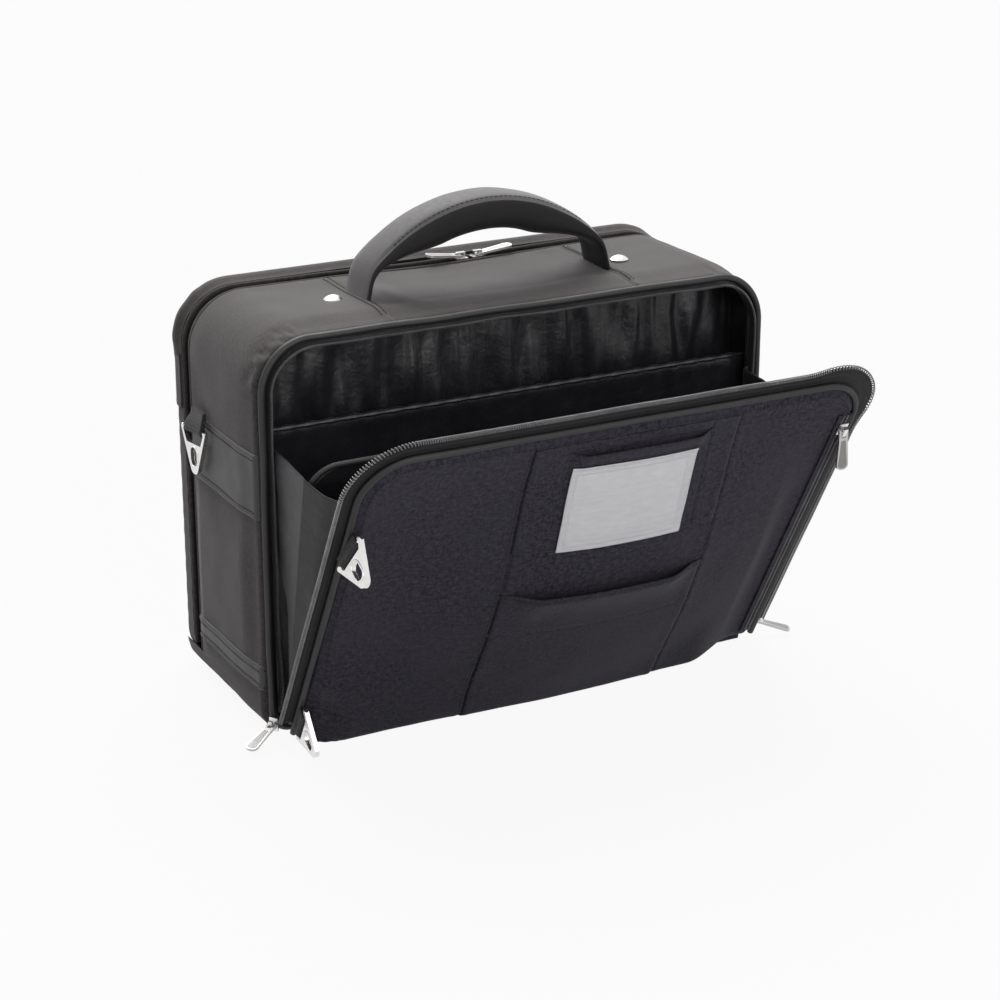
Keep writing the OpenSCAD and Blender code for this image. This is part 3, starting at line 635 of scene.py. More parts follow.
def pad_mesh(name, x, v, front, rear, finishes):
    """A closed pad from the grids of its front and rear; the last finish is the rear's."""
    rows, columns = x.shape
    half = rows * columns
    outer = lattice_faces(rows, columns)
    inner = [quad[::-1] for quad in lattice_faces(rows, columns, half)]
    rim = list(range(columns)) + [i * columns + columns - 1 for i in range(1, rows)]
    rim += [(rows - 1) * columns + j for j in range(columns - 2, -1, -1)]
    rim += [i * columns for i in range(rows - 2, 0, -1)]
    band = [[a, b, b + half, a + half] for a, b in zip(rim, rim[1:] + rim[:1])]
    face_finish = [0] * len(outer) + [len(finishes) - 1] * len(inner) + [0] * len(band)
    points = np.vstack([front.reshape(-1, 3), rear.reshape(-1, 3)])
    uv = np.vstack([points_of(x, v).reshape(-1, 2)] * 2)
    return piece(name, points, outer + inner + band, finishes, uv, face_finish)


def thicken(made, depth, offset=-1.0):
    """Gives a single layer of cloth its thickness."""
    solid = made.modifiers.new("thickness", "SOLIDIFY")
    solid.thickness = depth * MM
    solid.offset = offset
    return made


def applied(made):
    """Applies an object's modifiers to its mesh."""
    graph = bpy.context.evaluated_depsgraph_get()
    made.data = bpy.data.meshes.new_from_object(made.evaluated_get(graph))
    made.modifiers.clear()
    return made


def joined(name, parts):
    """One object from several."""
    for made in parts:
        if made.modifiers:
            applied(made)
    with bpy.context.temp_override(
            active_object=parts[0], object=parts[0], selected_objects=parts,
            selected_editable_objects=parts):
        bpy.ops.object.join()
    parts[0].name = parts[0].data.name = name
    return parts[0]


def carried(made, body, slot, *nodes):
    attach(made, body)
    if nodes:
        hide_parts(*nodes)
    return made


def arc(cx, cz, r, a, b, step):
    """Points and normals round an arc, without its ends."""
    count = max(6, int(abs(b - a) * r / step))
    angles = np.linspace(a, b, count + 1)[1:-1]
    turn = points_of(np.cos(angles), np.sin(angles))
    return np.array([cx, cz]) + r * turn, turn


def line(a, b, normal, step):
    """Points and normals along a straight line, with its ends."""
    count = max(2, int(math.dist(a, b) / step))
    share = np.linspace(0, 1, count + 1)[:, None]
    points = (1 - share) * np.array(a, float) + share * np.array(b, float)
    return points, np.tile(np.array(normal, float), (count + 1, 1))


def rim_path(half, low, high, r_top, r_low=0.0, closed=False, step=2.0):
    """Points, outward normals and run lengths round a rim, anticlockwise seen from the flap."""
    inner_t, inner_l = half - r_top, half - r_low
    q = math.pi / 2
    runs = []
    if closed:
        runs += [line((0, low), (inner_l, low), (0, -1), step),
                 arc(inner_l, low + r_low, r_low, -q, 0, step)]
        low_side = low + r_low
    else:
        low_side = low
    runs += [line((half, low_side), (half, high - r_top), (1, 0), step),
             arc(inner_t, high - r_top, r_top, 0, q, step),
             line((inner_t, high), (-inner_t, high), (0, 1), step),
             arc(-inner_t, high - r_top, r_top, q, 2 * q, step),
             line((-half, high - r_top), (-half, low_side), (-1, 0), step)]
    if closed:
        runs += [arc(-inner_l, low + r_low, r_low, 2 * q, 3 * q, step),
                 line((-inner_l, low), (0, low), (0, -1), step)]
    points = np.vstack([r[0] for r in runs])
    normals = np.vstack([r[1] for r in runs])
    return points, normals, run_lengths(points)


def roll(f, r, turn, way=1):
    """Section of a rolled edge at a radius, turning forwards or back."""
    return [(-ROLL_R + r * math.cos(a), f + way * r * math.sin(a)) for a in turn]


def push(grid, normals, amount):
    """Moves a swept grid's points in or out."""
    grid[..., 0] += amount * normals[:, :1]
    grid[..., 2] += amount * normals[:, 1:]


def round_section(o, f, r, count=12):
    """A round cord at an offset, as a closed loop."""
    turn = np.linspace(0, 2 * math.pi, count + 1)
    return points_of(o + r * np.cos(turn), f + r * np.sin(turn))


def flat_section(o, f0, f1, t, count=6):
    """A thin strip from f0 to f1, at an offset, as a closed loop."""
    run = np.linspace(f0, f1, count)
    there = points_of(np.full(count, o + t / 2), run)
    back = points_of(np.full(count, o - t / 2), run[::-1])
    return np.vstack([there, back, there[:1]])


def swept(path, section, place, sway=None):
    """A section (outward, forward) carried along a path; returns its grid and cloth coordinates."""
    points, normals, length = path
    section = np.asarray(section, float)
    o = np.broadcast_to(section[:, 0], (len(points), len(section))).copy()
    f = np.broadcast_to(section[:, 1], (len(points), len(section))).copy()
    if sway is not None:
        do, df = sway(points)
        o += np.asarray(do)[:, None] if np.ndim(do) == 1 else do
        f += np.asarray(df)[:, None] if np.ndim(df) == 1 else df
    x = points[:, :1] + o * normals[:, :1]
    z = points[:, 1:] + o * normals[:, 1:]
    return place(x, z, f), crossed(length, run_lengths(section))


def coil(name, path, o, f, place, sway=None, radius=1.05, wire=0.38, flip=1):
    """A zip's nylon coil: one wire wound along the tape's edge."""
    points, normals, length = path
    pitch = sizes().coil_pitch / MM
    turns = int(length[-1] / pitch)
    per, sides = 9, 5
    run = np.linspace(0, length[-1], turns * per + 1)
    px, pz = (np.interp(run, length, points[:, k]) for k in (0, 1))
    nx, nz = (np.interp(run, length, normals[:, k]) for k in (0, 1))
    if sway is not None:
        do, df = sway(points_of(px, pz))
    else:
        do = df = 0.0
    turn = np.linspace(0, 2 * math.pi * turns, len(run))
    wide = 1.25 * radius * np.cos(turn) * flip
    tall = 0.9 * radius * np.sin(turn)
    along_o, along_f = o + do + tall, f + df + wide
    centre = place(px + along_o * nx, pz + along_o * nz, along_f)
    ahead = unit(np.gradient(centre, axis=0))
    side = unit(np.cross(ahead, np.array([0.31, 0.83, 0.46])))
    grid, ring = tube(centre, side, np.cross(side, ahead), wire, sides)
    return lattice(name, grid, crossed(run, ring), "coil", wrap=True)


def zip_half(name, body, node, path, section, place, sway, at, coil_sway=None, **wire):
    """Half a zip: its tape along a path, with the coil along the tape's edge at (outward, forward)."""
    grid, uv = swept(path, section, place, sway)
    tape = lattice(name + "_tape", grid, uv, "zip_tape", caps=True)
    teeth = coil(name + "_coil", path, *at, place, coil_sway or sway, **wire)
    return carried(joined(name + "_chain", [tape, teeth]), body, "zip_tape", node)


def sew_piping(name, body, node, path, section, place, sway, finish="edging", caps=True):
    """Piping along a path."""
    grid, uv = swept(path, section, place, sway)
    return carried(lattice(name, grid, uv, finish, caps=caps), body, "edging", node)


def stitches(name, runs, radius=0.42, bury=0.1, length=None, gap=None, finish="thread"):
    """Thread along runs of points, each stitch a rounded bead; a run is its points and normals."""
    stitch = length or sizes().stitch / MM
    gap = gap or sizes().stitch_gap / MM
    shape = [(-0.5, 0.25), (-0.38, 0.8), (0.0, 1.0), (0.38, 0.8), (0.5, 0.25)]
    sides = 6
    ring = np.linspace(0, 2 * math.pi, sides, endpoint=False)
    points, faces = [], []
    for track, normals in runs:
        normals = np.broadcast_to(np.asarray(normals, float), track.shape)
        far = run_lengths(track)
        for middle in np.arange(gap + stitch / 2, far[-1] - stitch / 2, stitch + gap):
            at = [np.array([np.interp(middle + d * stitch, far, track[:, k]) for k in range(3)])
                  for d in (-0.5, 0.0, 0.5)]
            up = unit(np.array([np.interp(middle, far, normals[:, k]) for k in range(3)]))
            side = np.cross(at[2] - at[0], up)
            side /= max(np.linalg.norm(side), 1e-6)
            base = len(points)
            for place, size in shape:
                spot = at[1] + (at[2] - at[0]) * place
                sink = (radius - bury) * (1 - 1.3 * abs(place))
                for a in ring:
                    points.append(
                        spot + up * sink
                        + radius * size * (math.cos(a) * side + 0.8 * math.sin(a) * up))
            faces += lattice_faces(len(shape), sides, base, wrap=True)
            faces.append([base + k for k in range(sides)][::-1])
            faces.append([base + (len(shape) - 1) * sides + k for k in range(sides)])
    return piece(name, np.array(points), faces, finish)


# The body


def on_top(z):
    """1 on the body's top, 0 down its sides."""
    return smooth((z - BAG_H + 25) / 20)


def body_swell(place):
    """How far the body's cloth stands out of or into its plain outline, by (x, y, z)."""
    x, y, z = place[..., 0], place[..., 1], place[..., 2]
    f = -y
    slack = sizes().slack / MM
    waves = slack * soft_noise(place, 74.0, 3.1) + 0.4 * slack * soft_noise(place, 27.0, 8.3)
    top = on_top(z)
    low = smooth((12 - z) / 10)
    calm = smooth((FRONT_F - f) / 26) * smooth((f - REAR_F) / 12)
    out = waves * (0.2 + 0.8 * calm)
    out = out - top * ridge(x, SAG_REACH) * (2.0 + 1.8 * ridge(f + 14, 44.0)) * smooth((60 - f) / 24)
    near = np.abs(x) - TOP_SEAM_X
    seam = 1.1 * ridge(near - 3.0, 2.4) - 1.2 * ridge(near, 0.8)
    out = out + top * seam * smooth((f - REAR_F) / 4)
    crease = np.sin((np.abs(x) - 70) * 0.12 + f * 0.05 + 2.0 * soft_noise(place, 50.0, 5.5))
    out = out + top * 0.7 * crease * ridge(np.abs(x) - 78, 22.0) * calm
    out = out - (1.4 + 2.0 * top) * smooth((f - 44) / 26) * smooth((z - 30) / 40)
    out = out + 2.4 * ridge(z - 92, 62.0) * smooth((np.abs(x) - 180) / 20) * calm
    corner = smooth((np.abs(x) - HALF_W + 50) / 22) * smooth((z - BAG_H + 57) / 26)
    arc_run = np.arctan2(z - BAG_H + TOP_R, np.abs(x) - HALF_W + TOP_R) * TOP_R
    gather = soft_noise(points_of(arc_run / 3.6, f / 13.0), 1.0, 2.2)
    out = out + corner * 1.9 * gather * ridge(f - 64, 11.0)
    return np.where(low > 0, out * (1 - low) - 0.25 * low, np.clip(out, -9.0, 3.0))


def make_body():
    """Outer cloth, front roll and gathered lining as one sewn shell."""
    path = rim_path(HALF_W, 0, BAG_H, TOP_R, LOW_R, closed=True, step=1.7)
    quarter = np.linspace(0, math.pi / 2, 10)
    flat = 62
    outer = [(0, f) for f in np.linspace(REAR_F, FRONT_F, flat)]
    outer += roll(FRONT_F, ROLL_R, quarter[1:])
    outer += [(-ROLL_R - LIP_W * s, LIP_F) for s in (0.5, 1.0)]
    inner = [(-ROLL_R - LIP_W, LIP_F - 3.4), (-ROLL_R, LIP_F - WALL)]
    inner += roll(FRONT_F, 3.0, (1.0, 0.5, 0.0))
    inner += [(-WALL, f) for f in np.linspace(FRONT_F - 2, REAR_F, 40)]
    section = np.array(outer + inner + [outer[0]])
    grid, uv = swept(path, section, upright)
    normals, length = path[1:]
    swell = body_swell(grid)
    count = len(outer)
    share = np.zeros(len(section))
    share[:count] = 1.0
    share[flat:count] = np.linspace(1, 0.2, count - flat)
    share[-1] = 1.0
    f = section[:, 1]
    pleats = ripple(length, 4.6, 3.5, 60, 4.4)[:, None]
    gathers = np.zeros_like(swell)
    inside = np.arange(len(section)) >= count + 3
    inside[-1] = False
    depth = sizes().pleat / MM * 0.45
    held = smooth((f[inside] - PARTITION_F - 1.5) / 8) * smooth((FRONT_F - f[inside]) / 4)
    gathers[:, inside] = -depth * (0.5 + 0.5 * pleats) * held[None]
    follow = np.where(inside[None], np.minimum(0, swell + WALL - 2.0), 0)
    push(grid, normals, swell * share[None] + gathers + follow)
    lining = np.arange(len(section) - 1) >= count - 3
    face_finish = np.tile(lining.astype(int), len(grid) - 1)
    made = lattice("body_cloth", grid, uv, ["side_cloth", "lining"], face_finish=face_finish)
    return carried(made, "body", "side_cloth", "body_shell")


def body_side(y, z, side, lift):
    """A point on the body's side cloth, lifted off it."""
    place = points_of(side * HALF_W, y, z)
    past = np.clip(-place[..., 1] - FRONT_F, 0, ROLL_R - 0.5)
    x = side * (HALF_W + body_swell(place) + np.sqrt(ROLL_R**2 - past**2) - ROLL_R + lift)
    return points_of(x, y, z)


def body_top(x, y, lift):
    """A point on the body's top cloth, lifted off it."""
    place = points_of(x, y, BAG_H)
    return points_of(x, y, BAG_H + body_swell(place) + lift)


def rim_sway(amount, seed, length_scale=60.0, low_extra=0.0, sag=0.0):
    """Gentle waves that a sewn edge takes along its run, and its sag under the handle."""

    def sway(points):
        track = points_of(points[:, 0] / length_scale, points[:, 1] / length_scale)
        do = amount * soft_noise(track, 1.0, seed)
        df = amount * soft_noise(track, 1.0, seed + 9.7)
        do = do - sag * ridge(points[:, 0], SAG_REACH) * on_top(points[:, 1])
        if low_extra:
            loose = smooth((150 - points[:, 1]) / 90) * smooth((points[:, 1] - ZIP_LOW) / 20)
            do = do - low_extra * loose * (0.6 + 0.4 * np.sin(points[:, 1] / 17.0))
            df = df + 0.5 * low_extra * loose * np.sin(points[:, 1] / 23.0 + 1.0)
        return do, df

    return sway


def make_sill():
    """Base strip under the lid, padded up to it at the corners, with the hinge edge along its back."""
    q = math.pi / 2
    inner = HALF_W - LOW_R
    thick, over = 3.4, LOW_R + 0.8
    top = LOW_R + 2.0
    runs = [line((-HALF_W, top), (-HALF_W, over), (-1, 0), 1.5),
            arc(-inner, LOW_R, LOW_R, 2 * q, 3 * q, 1.5),
            line((-inner, 0), (inner, 0), (0, -1), 3.0),
            arc(inner, LOW_R, LOW_R, -q, 0, 1.5),
            line((HALF_W, over), (HALF_W, top), (1, 0), 1.5)]
    points, normals = (np.vstack([r[k] for r in runs]) for k in (0, 1))
    path = points, normals, run_lengths(points)
    back = LID_BACK_F + 1.0
    shape = np.array([(-0.3, REAR_F - 0.2), (-0.25, -60), (-0.4, back + 4), (-1.2, back + 0.8),
                      (-2.2, back), (-3.2, back + 0.8), (-3.7, back + 4), (-3.7, REAR_F - 0.2),
                      (-0.3, REAR_F - 0.2)])
    soft = rim_sway(0.2, 6.0)

    def fitted(points):
        do, df = soft(points)
        side = np.clip((np.abs(points[:, 0]) - inner) / LOW_R, 0, 1)
        drop = np.where(points[:, 1] > LOW_R, LID_LOW + LOW_R - points[:, 1], LID_LOW * side)
        rise = np.where(points[:, 1] > LOW_R, 0, LID_LOW * np.sqrt(1 - side**2))
        room = LOW_R + rise - np.sqrt(LOW_R**2 - drop**2) - 1.0
        fill = smooth(side * 3)
        swell = np.maximum((1 - fill) * thick + fill * room, 0.3) / thick - 1
        return do[:, None] * (1 - fill)[:, None] + swell[:, None] * (shape[None, :, 0] + 0.3), df

    grid, uv = swept(path, shape, upright, fitted)
    grid[..., 2] = np.maximum(grid[..., 2], 0.15)
    strip = lattice("sill_strip", grid, uv, "side_cloth", caps=True)
    run = np.linspace(-HALF_W + 61, HALF_W - 61, 120)
    fold = np.array([(back, 2.0), (back - 1.6, 2.0), (back - 1.7, 4.5), (back - 1.6, 7.6),
                     (back - 0.6, 8.8), (back - 0.1, 7.2), (back, 2.0)])
    grid = upright(run[:, None], fold[None, :, 1], fold[None, :, 0])
    hem = lattice("sill_fold", grid, crossed(run, run_lengths(fold)), "side_cloth", caps=True)
    return joined("rear_sill_cloth", [strip, hem])


class BAG_OT_body(bpy.types.Operator):
    """Sews the body's cloth, its seams and the base strip under the lid"""

    bl_idname = "bag.body"
    bl_label = "Body"

    def execute(self, context):
        make_body()
        runs = []
        for side in (-1, 1):
            for off in (2.2, 5.6):
                y = np.linspace(-REAR_F - 3, -61, 90)
                x = np.full_like(y, side * (TOP_SEAM_X + off))
                runs.append((body_top(x, y, 0.0), (0, 0, 1)))
        carried(stitches("top_seam_stitches", runs), "body", "side_cloth")
        carried(make_sill(), "body", "side_cloth", "rear_sill")
        return {"FINISHED"}


class BAG_OT_rims(bpy.types.Operator):
    """Sews the piping and the zip halves round the body's and the lid's rims"""

    bl_idname = "bag.rims"
    bl_label = "Rims"

    def execute(self, context):
        full = rim_path(HALF_W, 0, BAG_H, TOP_R, LOW_R, closed=True, step=3.0)
        arch = rim_path(HALF_W, ZIP_LOW, BAG_H, TOP_R, step=2.5)
        sew_piping("front_rim_cord", "body", "front_rim_piping", full,
                   round_section(2 - ROLL_R, PIPING_F, PIPING_R, 14), upright,
                   rim_sway(0.7, 1.3, 48.0), caps=False)
        zip_half("front_rim", "body", "front_rim_zip", arch,
                 flat_section(-10, LIP_F + 0.2, LIP_F + 6.8, TAPE_T), upright,
                 rim_sway(0.9, 4.0, 42.0, low_extra=2.2), (-10.2, LIP_F + 7.0),
                 radius=0.8, wire=0.32)
        for name, body, node, side, edge in (
                ("rear_rim", "body", "rear_rim", 1, REAR_F - 0.2),
                ("lid_rim", "lid", "lid", -1, LID_F + 0.2)):
            section = round_section(RIM_PIPING_O, edge - side * RIM_PIPING_R, RIM_PIPING_R, 12)
            sew_piping(name + "_cord", body, node + "_piping", arch, section, upright,
                       rim_sway(0.25, 2.0 + side, sag=2.0), "side_cloth")
            teeth_f = CHAIN_F + side * 1.45
            first, last = sorted((teeth_f + side * 0.5, edge))
            zip_half(name, body, node + "_zip", arch, flat_section(REAR_ZIP_O, first, last, TAPE_T),
                     upright, rim_sway(0.0, 0.0, sag=2.0), (REAR_ZIP_O, teeth_f), flip=side)
        return {"FINISHED"}


def side_patch(name, side, z0, z1, y0, y1, lift, beads):
    """A leatherette patch on the body's side, its edges turned under and beaded."""
    y = np.linspace(y0, y1, 90)
    w = np.unique(np.concatenate([np.linspace(0, 1, 46), np.linspace(0, 0.08, 8),
                                  np.linspace(0.92, 1, 8)]))
    yy, ww = np.meshgrid(y, w, indexing="ij")
    zz = z0 + (z1 - z0) * ww
    edge = np.minimum(np.minimum(zz - z0, z1 - zz), np.minimum(y0 - yy, yy - y1))
    height = lift * np.sqrt(np.clip(1 - (1 - np.clip(edge / 1.6, 0, 1)) ** 2, 0, 1))
    for place, tall in beads:
        height = height + tall * ridge(zz - (z0 + place if place > 0 else z1 + place), 0.8)
    height = height + 0.25 * soft_noise(points_of(yy, zz), 18.0, 7.0) * smooth(edge / 4)
    grid = body_side(yy, zz, side, 0.15 + height)
    uv = points_of(yy, zz)
    return lattice(name, grid, uv, "leatherette")


def webbing_loop(name, track, place, width):
    """Folded webbing: a thick ribbon along a track of points."""
    centre, run = eased(track, 64, 3)
    across = np.linspace(-width / 2, width / 2, 17)
    bow = 0.25 * np.cos(across / width * math.pi)
    ahead = unit(np.gradient(centre, axis=0))
    out = points_of(-ahead[:, 1], ahead[:, 0])
    a = centre[:, None, 0] + out[:, None, 0] * bow[None]
    b = centre[:, None, 1] + out[:, None, 1] * bow[None]
    grid = place(a, b, np.broadcast_to(across[None], a.shape))
    return thicken(lattice(name, grid, crossed(run, across), "webbing"), 1.1, 0.0)


def trim_side(label, side):
    """Band and lower strip of one side; returns the runs of their stitching."""
    y = np.linspace(-REAR_F - 2, TRIM_FRONT + 1.3, 80)
    runs = []
    for name, node, low, tall, beads, hems in (
            ("_band", "_side_band", BAND_Z, BAND_H, ((2.4, 0.7), (-2.0, 0.5)), (5.0, -4.4)),
            ("_strip", "_trim_strip", STRIP_Z, STRIP_H, ((2.2, 1.1), (-2.2, 1.1)), (4.6, -4.6))):
        high = low + tall
        patch = side_patch(label + name, side, low, high, -REAR_F - 1, TRIM_FRONT, TRIM_T, beads)
        carried(patch, "body", "handle_cover", label + node)
        for z in (low + hems[0], high + hems[1]):
            runs.append((body_side(y, np.full_like(y, z), side, TRIM_T), (side, 0, 0)))
    return runs


def loop_side_ring(label, side):
    """Webbing loop of one side's strap ring, its tails sewn flat under the band."""
    turn = np.linspace(-0.35 * math.pi, 1.25 * math.pi, 22)
    wrap = [(2.3 * math.cos(a), -2.3 * math.sin(a)) for a in turn]
    track = np.array([(1.2, 8.0), (1.5, 15.0)] + wrap[::-1] + [(2.6, 15.0), (2.5, 8.0)])
    c, s = math.cos(RING_TURN), math.sin(RING_TURN)

    def place(a, b, across):
        flat = smooth((b - 2.5) / 9)
        x = (RING_X - a * c + across * s) * (1 - flat) + (HALF_W + 5.9 - a) * flat
        return points_of(side * x, RING_Y + a * s + across * c, RING_Z + b)

    loop = webbing_loop(label + "_loop_web", track, place, LOOP_W)
    carried(loop, "body", "webbing", label + "_ring_loop")


class BAG_OT_sides(bpy.types.Operator):
    """Lays the side bands, lower strips and ring loops"""

    bl_idname = "bag.sides"
    bl_label = "Side trim"

    def execute(self, context):
        runs = []
        for label, side in SIDES:
            runs += trim_side(label, side)
            loop_side_ring(label, side)
        carried(stitches("side_stitches", runs), "body", "handle_cover")
        return {"FINISHED"}


# The handle


def pad_grip(end):
    """Grip along its arch: padded over the hand, flat at its strap ends, its underside a darker panel
    that is painted darker still as shade.
    """
    phi = np.linspace(-end, end, 170)
    turn = np.linspace(0, 2 * math.pi, 49)
    a, c, s = phi[:, None], np.cos(turn), np.sin(turn)
    wide = HANDLE_W / 2
    pad = 1 - smooth((np.abs(a) - 0.34) / 0.62)
    thick = STRAP_T + (HANDLE_T - STRAP_T) * pad
    y = wide * np.sign(c) * np.abs(c) ** (2 / 3.4)
    power = np.where(s > 0, 2 / 4.6, 2 / 2.3)
    r = HANDLE_R - thick / 2 + thick / 2 * np.sign(s) * np.abs(s) ** power
    over = (s > 0.15) * smooth(pad * 3)
    r = r + 0.8 * (1 - (y / wide) ** 2) * over - 0.8 * ridge(np.abs(y) - wide * GRIP_SEAM, 1.2) * over
    out = r - 11.0 * smooth((np.abs(a) - end + 0.3) / 0.3)
    grid = points_of(out * np.sin(a), HANDLE_Y + y, HANDLE_Z + r * np.cos(a))
    lump = soft_noise(grid, 26.0, 1.7)[..., None]
    grid = grid + 0.5 * lump * unit(grid - grid.mean(axis=1, keepdims=True))
    grid[:, -1] = grid[:, 0]
    # Faces below the grip's seam, which take the underside finish painted darker as shade.
    under = (s[1:] + s[:-1]) / 2 < 0.5
    return lattice(
        "handle_pad", grid, crossed(HANDLE_R * phi, turn * 17), ["handle_cover", "handle_underside"],
        caps=True, face_finish=np.tile(under.astype(int), len(phi) - 1))


class BAG_OT_handle(bpy.types.Operator):
    """Sews the padded handle with its flat strap ends and edge stitching"""

    bl_idname = "bag.handle"
    bl_label = "Handle"

    def execute(self, context):
        end = math.acos((BAG_H - 3.0 - HANDLE_Z) / HANDLE_R)
        grip = pad_grip(end)
        a = np.linspace(-end + 0.42, end - 0.42, 160)
        r = HANDLE_R - 0.9
        y = np.full_like(a, HANDLE_Y - HANDLE_W / 2 * GRIP_SEAM)
        track = points_of(r * np.sin(a), y, HANDLE_Z + r * np.cos(a))
        out = points_of(np.sin(a), 0 * a, np.cos(a))
        made = joined("handle_pad", [grip, stitches("handle_thread", [(track, out)], radius=0.42)])
        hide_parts("handle_grip", "handle_roots")
        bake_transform(made)
        return {"FINISHED"}


# Inside


def rounded_half_width(v, half, high, r):
    """Half the width of a panel with rounded top corners."""
    up = np.clip(v - (high - r), 0, r)
    return half - r + np.sqrt(np.maximum(r * r - up * up, 0))


def rounded_rows(low, high, r, step):
    """Heights up a panel, closer together round its top corners."""
    straight = np.linspace(low, high - r, max(3, int((high - r - low) / step)))
    turn = np.linspace(0, math.pi / 2, 26)[1:]
    return np.concatenate([straight, high - r + r * np.sin(turn)])


def panel_grid(low, high, half, r, across, step):
    """Grid over a panel with rounded top corners."""
    v = rounded_rows(low, high, r, step)
    u = np.linspace(-1, 1, across)
    width = rounded_half_width(v, half, high, r)
    return np.broadcast_arrays(u[None] * width[:, None], v[:, None])


def hang_back_lining():
    """Back lining, gathered along its top."""
    inset = 4.6
    x, v = panel_grid(5.0, BAG_H - inset, HALF_W - inset, TOP_R - inset, 240, 4.0)
    place = points_of(x, v)
    depth = sizes().pleat / MM
    fall = 0.45 + 0.55 * smooth((v - 90) / 120)
    folds = 1.3 * soft_noise(place / np.array([15.0, 62.0]), 1.0, 1.1)
    folds = folds + 0.6 * soft_noise(place / np.array([7.0, 40.0]), 1.0, 4.7)
    t = PARTITION_F + 2.2 + depth * fall * np.clip(0.7 + folds, 0, 3)
    lining = lattice("back_lining", upright(x, v, t), place, "lining")
    thicken(lining, 0.7, 1.0)
    carried(lining, "body", "lining_cloth", "partition_wall")


def hang_document_sheet():
    """Document divider with a puckered, rolled hem."""
    x, v = panel_grid(5.5, DOCUMENT_H, HALF_W - 6.0, 4.0, 170, 4.0)
    place = points_of(x, v)
    hem = ridge(v - (DOCUMENT_H - 5), 5.0)
    pucker = np.sin(x / 2.6 + 2 * soft_noise(place, 40.0, 2.0)) * 0.45 * smooth((v - 195) / 24)
    t = DOCUMENT_F - 1.2 + 1.5 * soft_noise(place, 80.0, 5.0) * smooth((DOCUMENT_H - v) / 60) \
        + pucker + 0.8 * hem
    sheet = thicken(lattice("document_sheet", upright(x, v, t), place, "lining"), 1.6, 0.0)
    carried(sheet, "body", "lining_cloth", "document_divider")
    run = np.linspace(-1, 1, 180) * (HALF_W - 6.5)
    turn = np.linspace(0, 2 * math.pi, 11)
    wob = 0.35 * np.sin(run / 2.6)[:, None]
    grid = upright(
        run[:, None], DOCUMENT_H - 0.4 + (2.0 + wob) * np.sin(turn)[None],
        DOCUMENT_F - 0.6 + (1.8 + wob) * np.cos(turn)[None])
    hem = lattice("document_hem", grid, crossed(run, turn * 2), "lining", caps=True)
    carried(hem, "body", "lining_cloth")


def hang_laptop_divider():
    """Padded laptop divider with its bound edge."""
    x, v = panel_grid(DIV_LOW, DIV_HIGH, DIV_HALF, DIV_R, 150, 4.0)
    place = points_of(x, v)
    edge = np.minimum(rounded_half_width(v, DIV_HALF, DIV_HIGH, DIV_R) - np.abs(x), DIV_HIGH - v)
    puff = 0.9 + 1.1 * smooth(edge / 12) + 0.3 * soft_noise(place, 60.0, 9.0)
    pad = pad_mesh("laptop_pad", x, v, on_divider(x, v, puff), on_divider(x, v, -puff), ["lining"])
    carried(pad, "divider", "lining_cloth", "laptop_divider")
    path = rim_path(DIV_HALF, DIV_LOW + 2, DIV_HIGH, DIV_R, step=3.0)
    sew_piping("divider_bound_edge", "divider", "divider_binding", path,
               round_section(2.1, 0, 2.2, 12), on_divider, rim_sway(0.3, 7.7))


def lay_base_cover():
    """Lining over the stiff base board."""
    lo, hi = (np.array(c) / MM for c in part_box("base_board"))
    x = np.linspace(lo[0], hi[0], 120)
    y = np.linspace(lo[1], hi[1], 30)
    xx, yy = np.meshgrid(x, y, indexing="ij")
    edge = np.minimum(np.minimum(xx - lo[0], hi[0] - xx), np.minimum(yy - lo[1], hi[1] - yy))
    z = lo[2] + (hi[2] - lo[2]) * (0.25 + 0.75 * smooth(edge / 3)) \
        + 0.2 * soft_noise(points_of(xx, yy), 30.0, 2.0)
    board = lattice("base_cover", points_of(xx, yy, z), points_of(xx, yy), "lining")
    carried(thicken(board, 1.6, -1.0), "body", "lining_cloth", "base_board")


class BAG_OT_dividers(bpy.types.Operator):
    """Makes the gathered back lining, the document divider and the padded laptop divider"""

    bl_idname = "bag.dividers"
    bl_label = "Dividers"

    def execute(self, context):
        hang_back_lining()
        hang_document_sheet()
        hang_laptop_divider()
        lay_base_cover()
        return {"FINISHED"}


def divider_edge(up):
    """Where the gussets are sewn to the laptop divider, by the share of its height."""
    return on_divider(0.0, 8 + 200 * up, 0.0)[..., 1:]


def flap_edge(up):
    """Where the front gusset is sewn to the flap, by the height up the flap."""
    return on_flap(0.0, up, -0.3)[..., 1:]


def gusset(name, grid, uv, finish, other, start, end, flat, held, rests_on):
    """One gusset, hung between the body and another panel."""
    made = lattice(name + "_fold", grid, uv, finish)
    applied(thicken(made, 0.6, 0.0))
    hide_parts(name + "_gusset")
    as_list(rests_on)
    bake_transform(made)
    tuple(start)
    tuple(end)


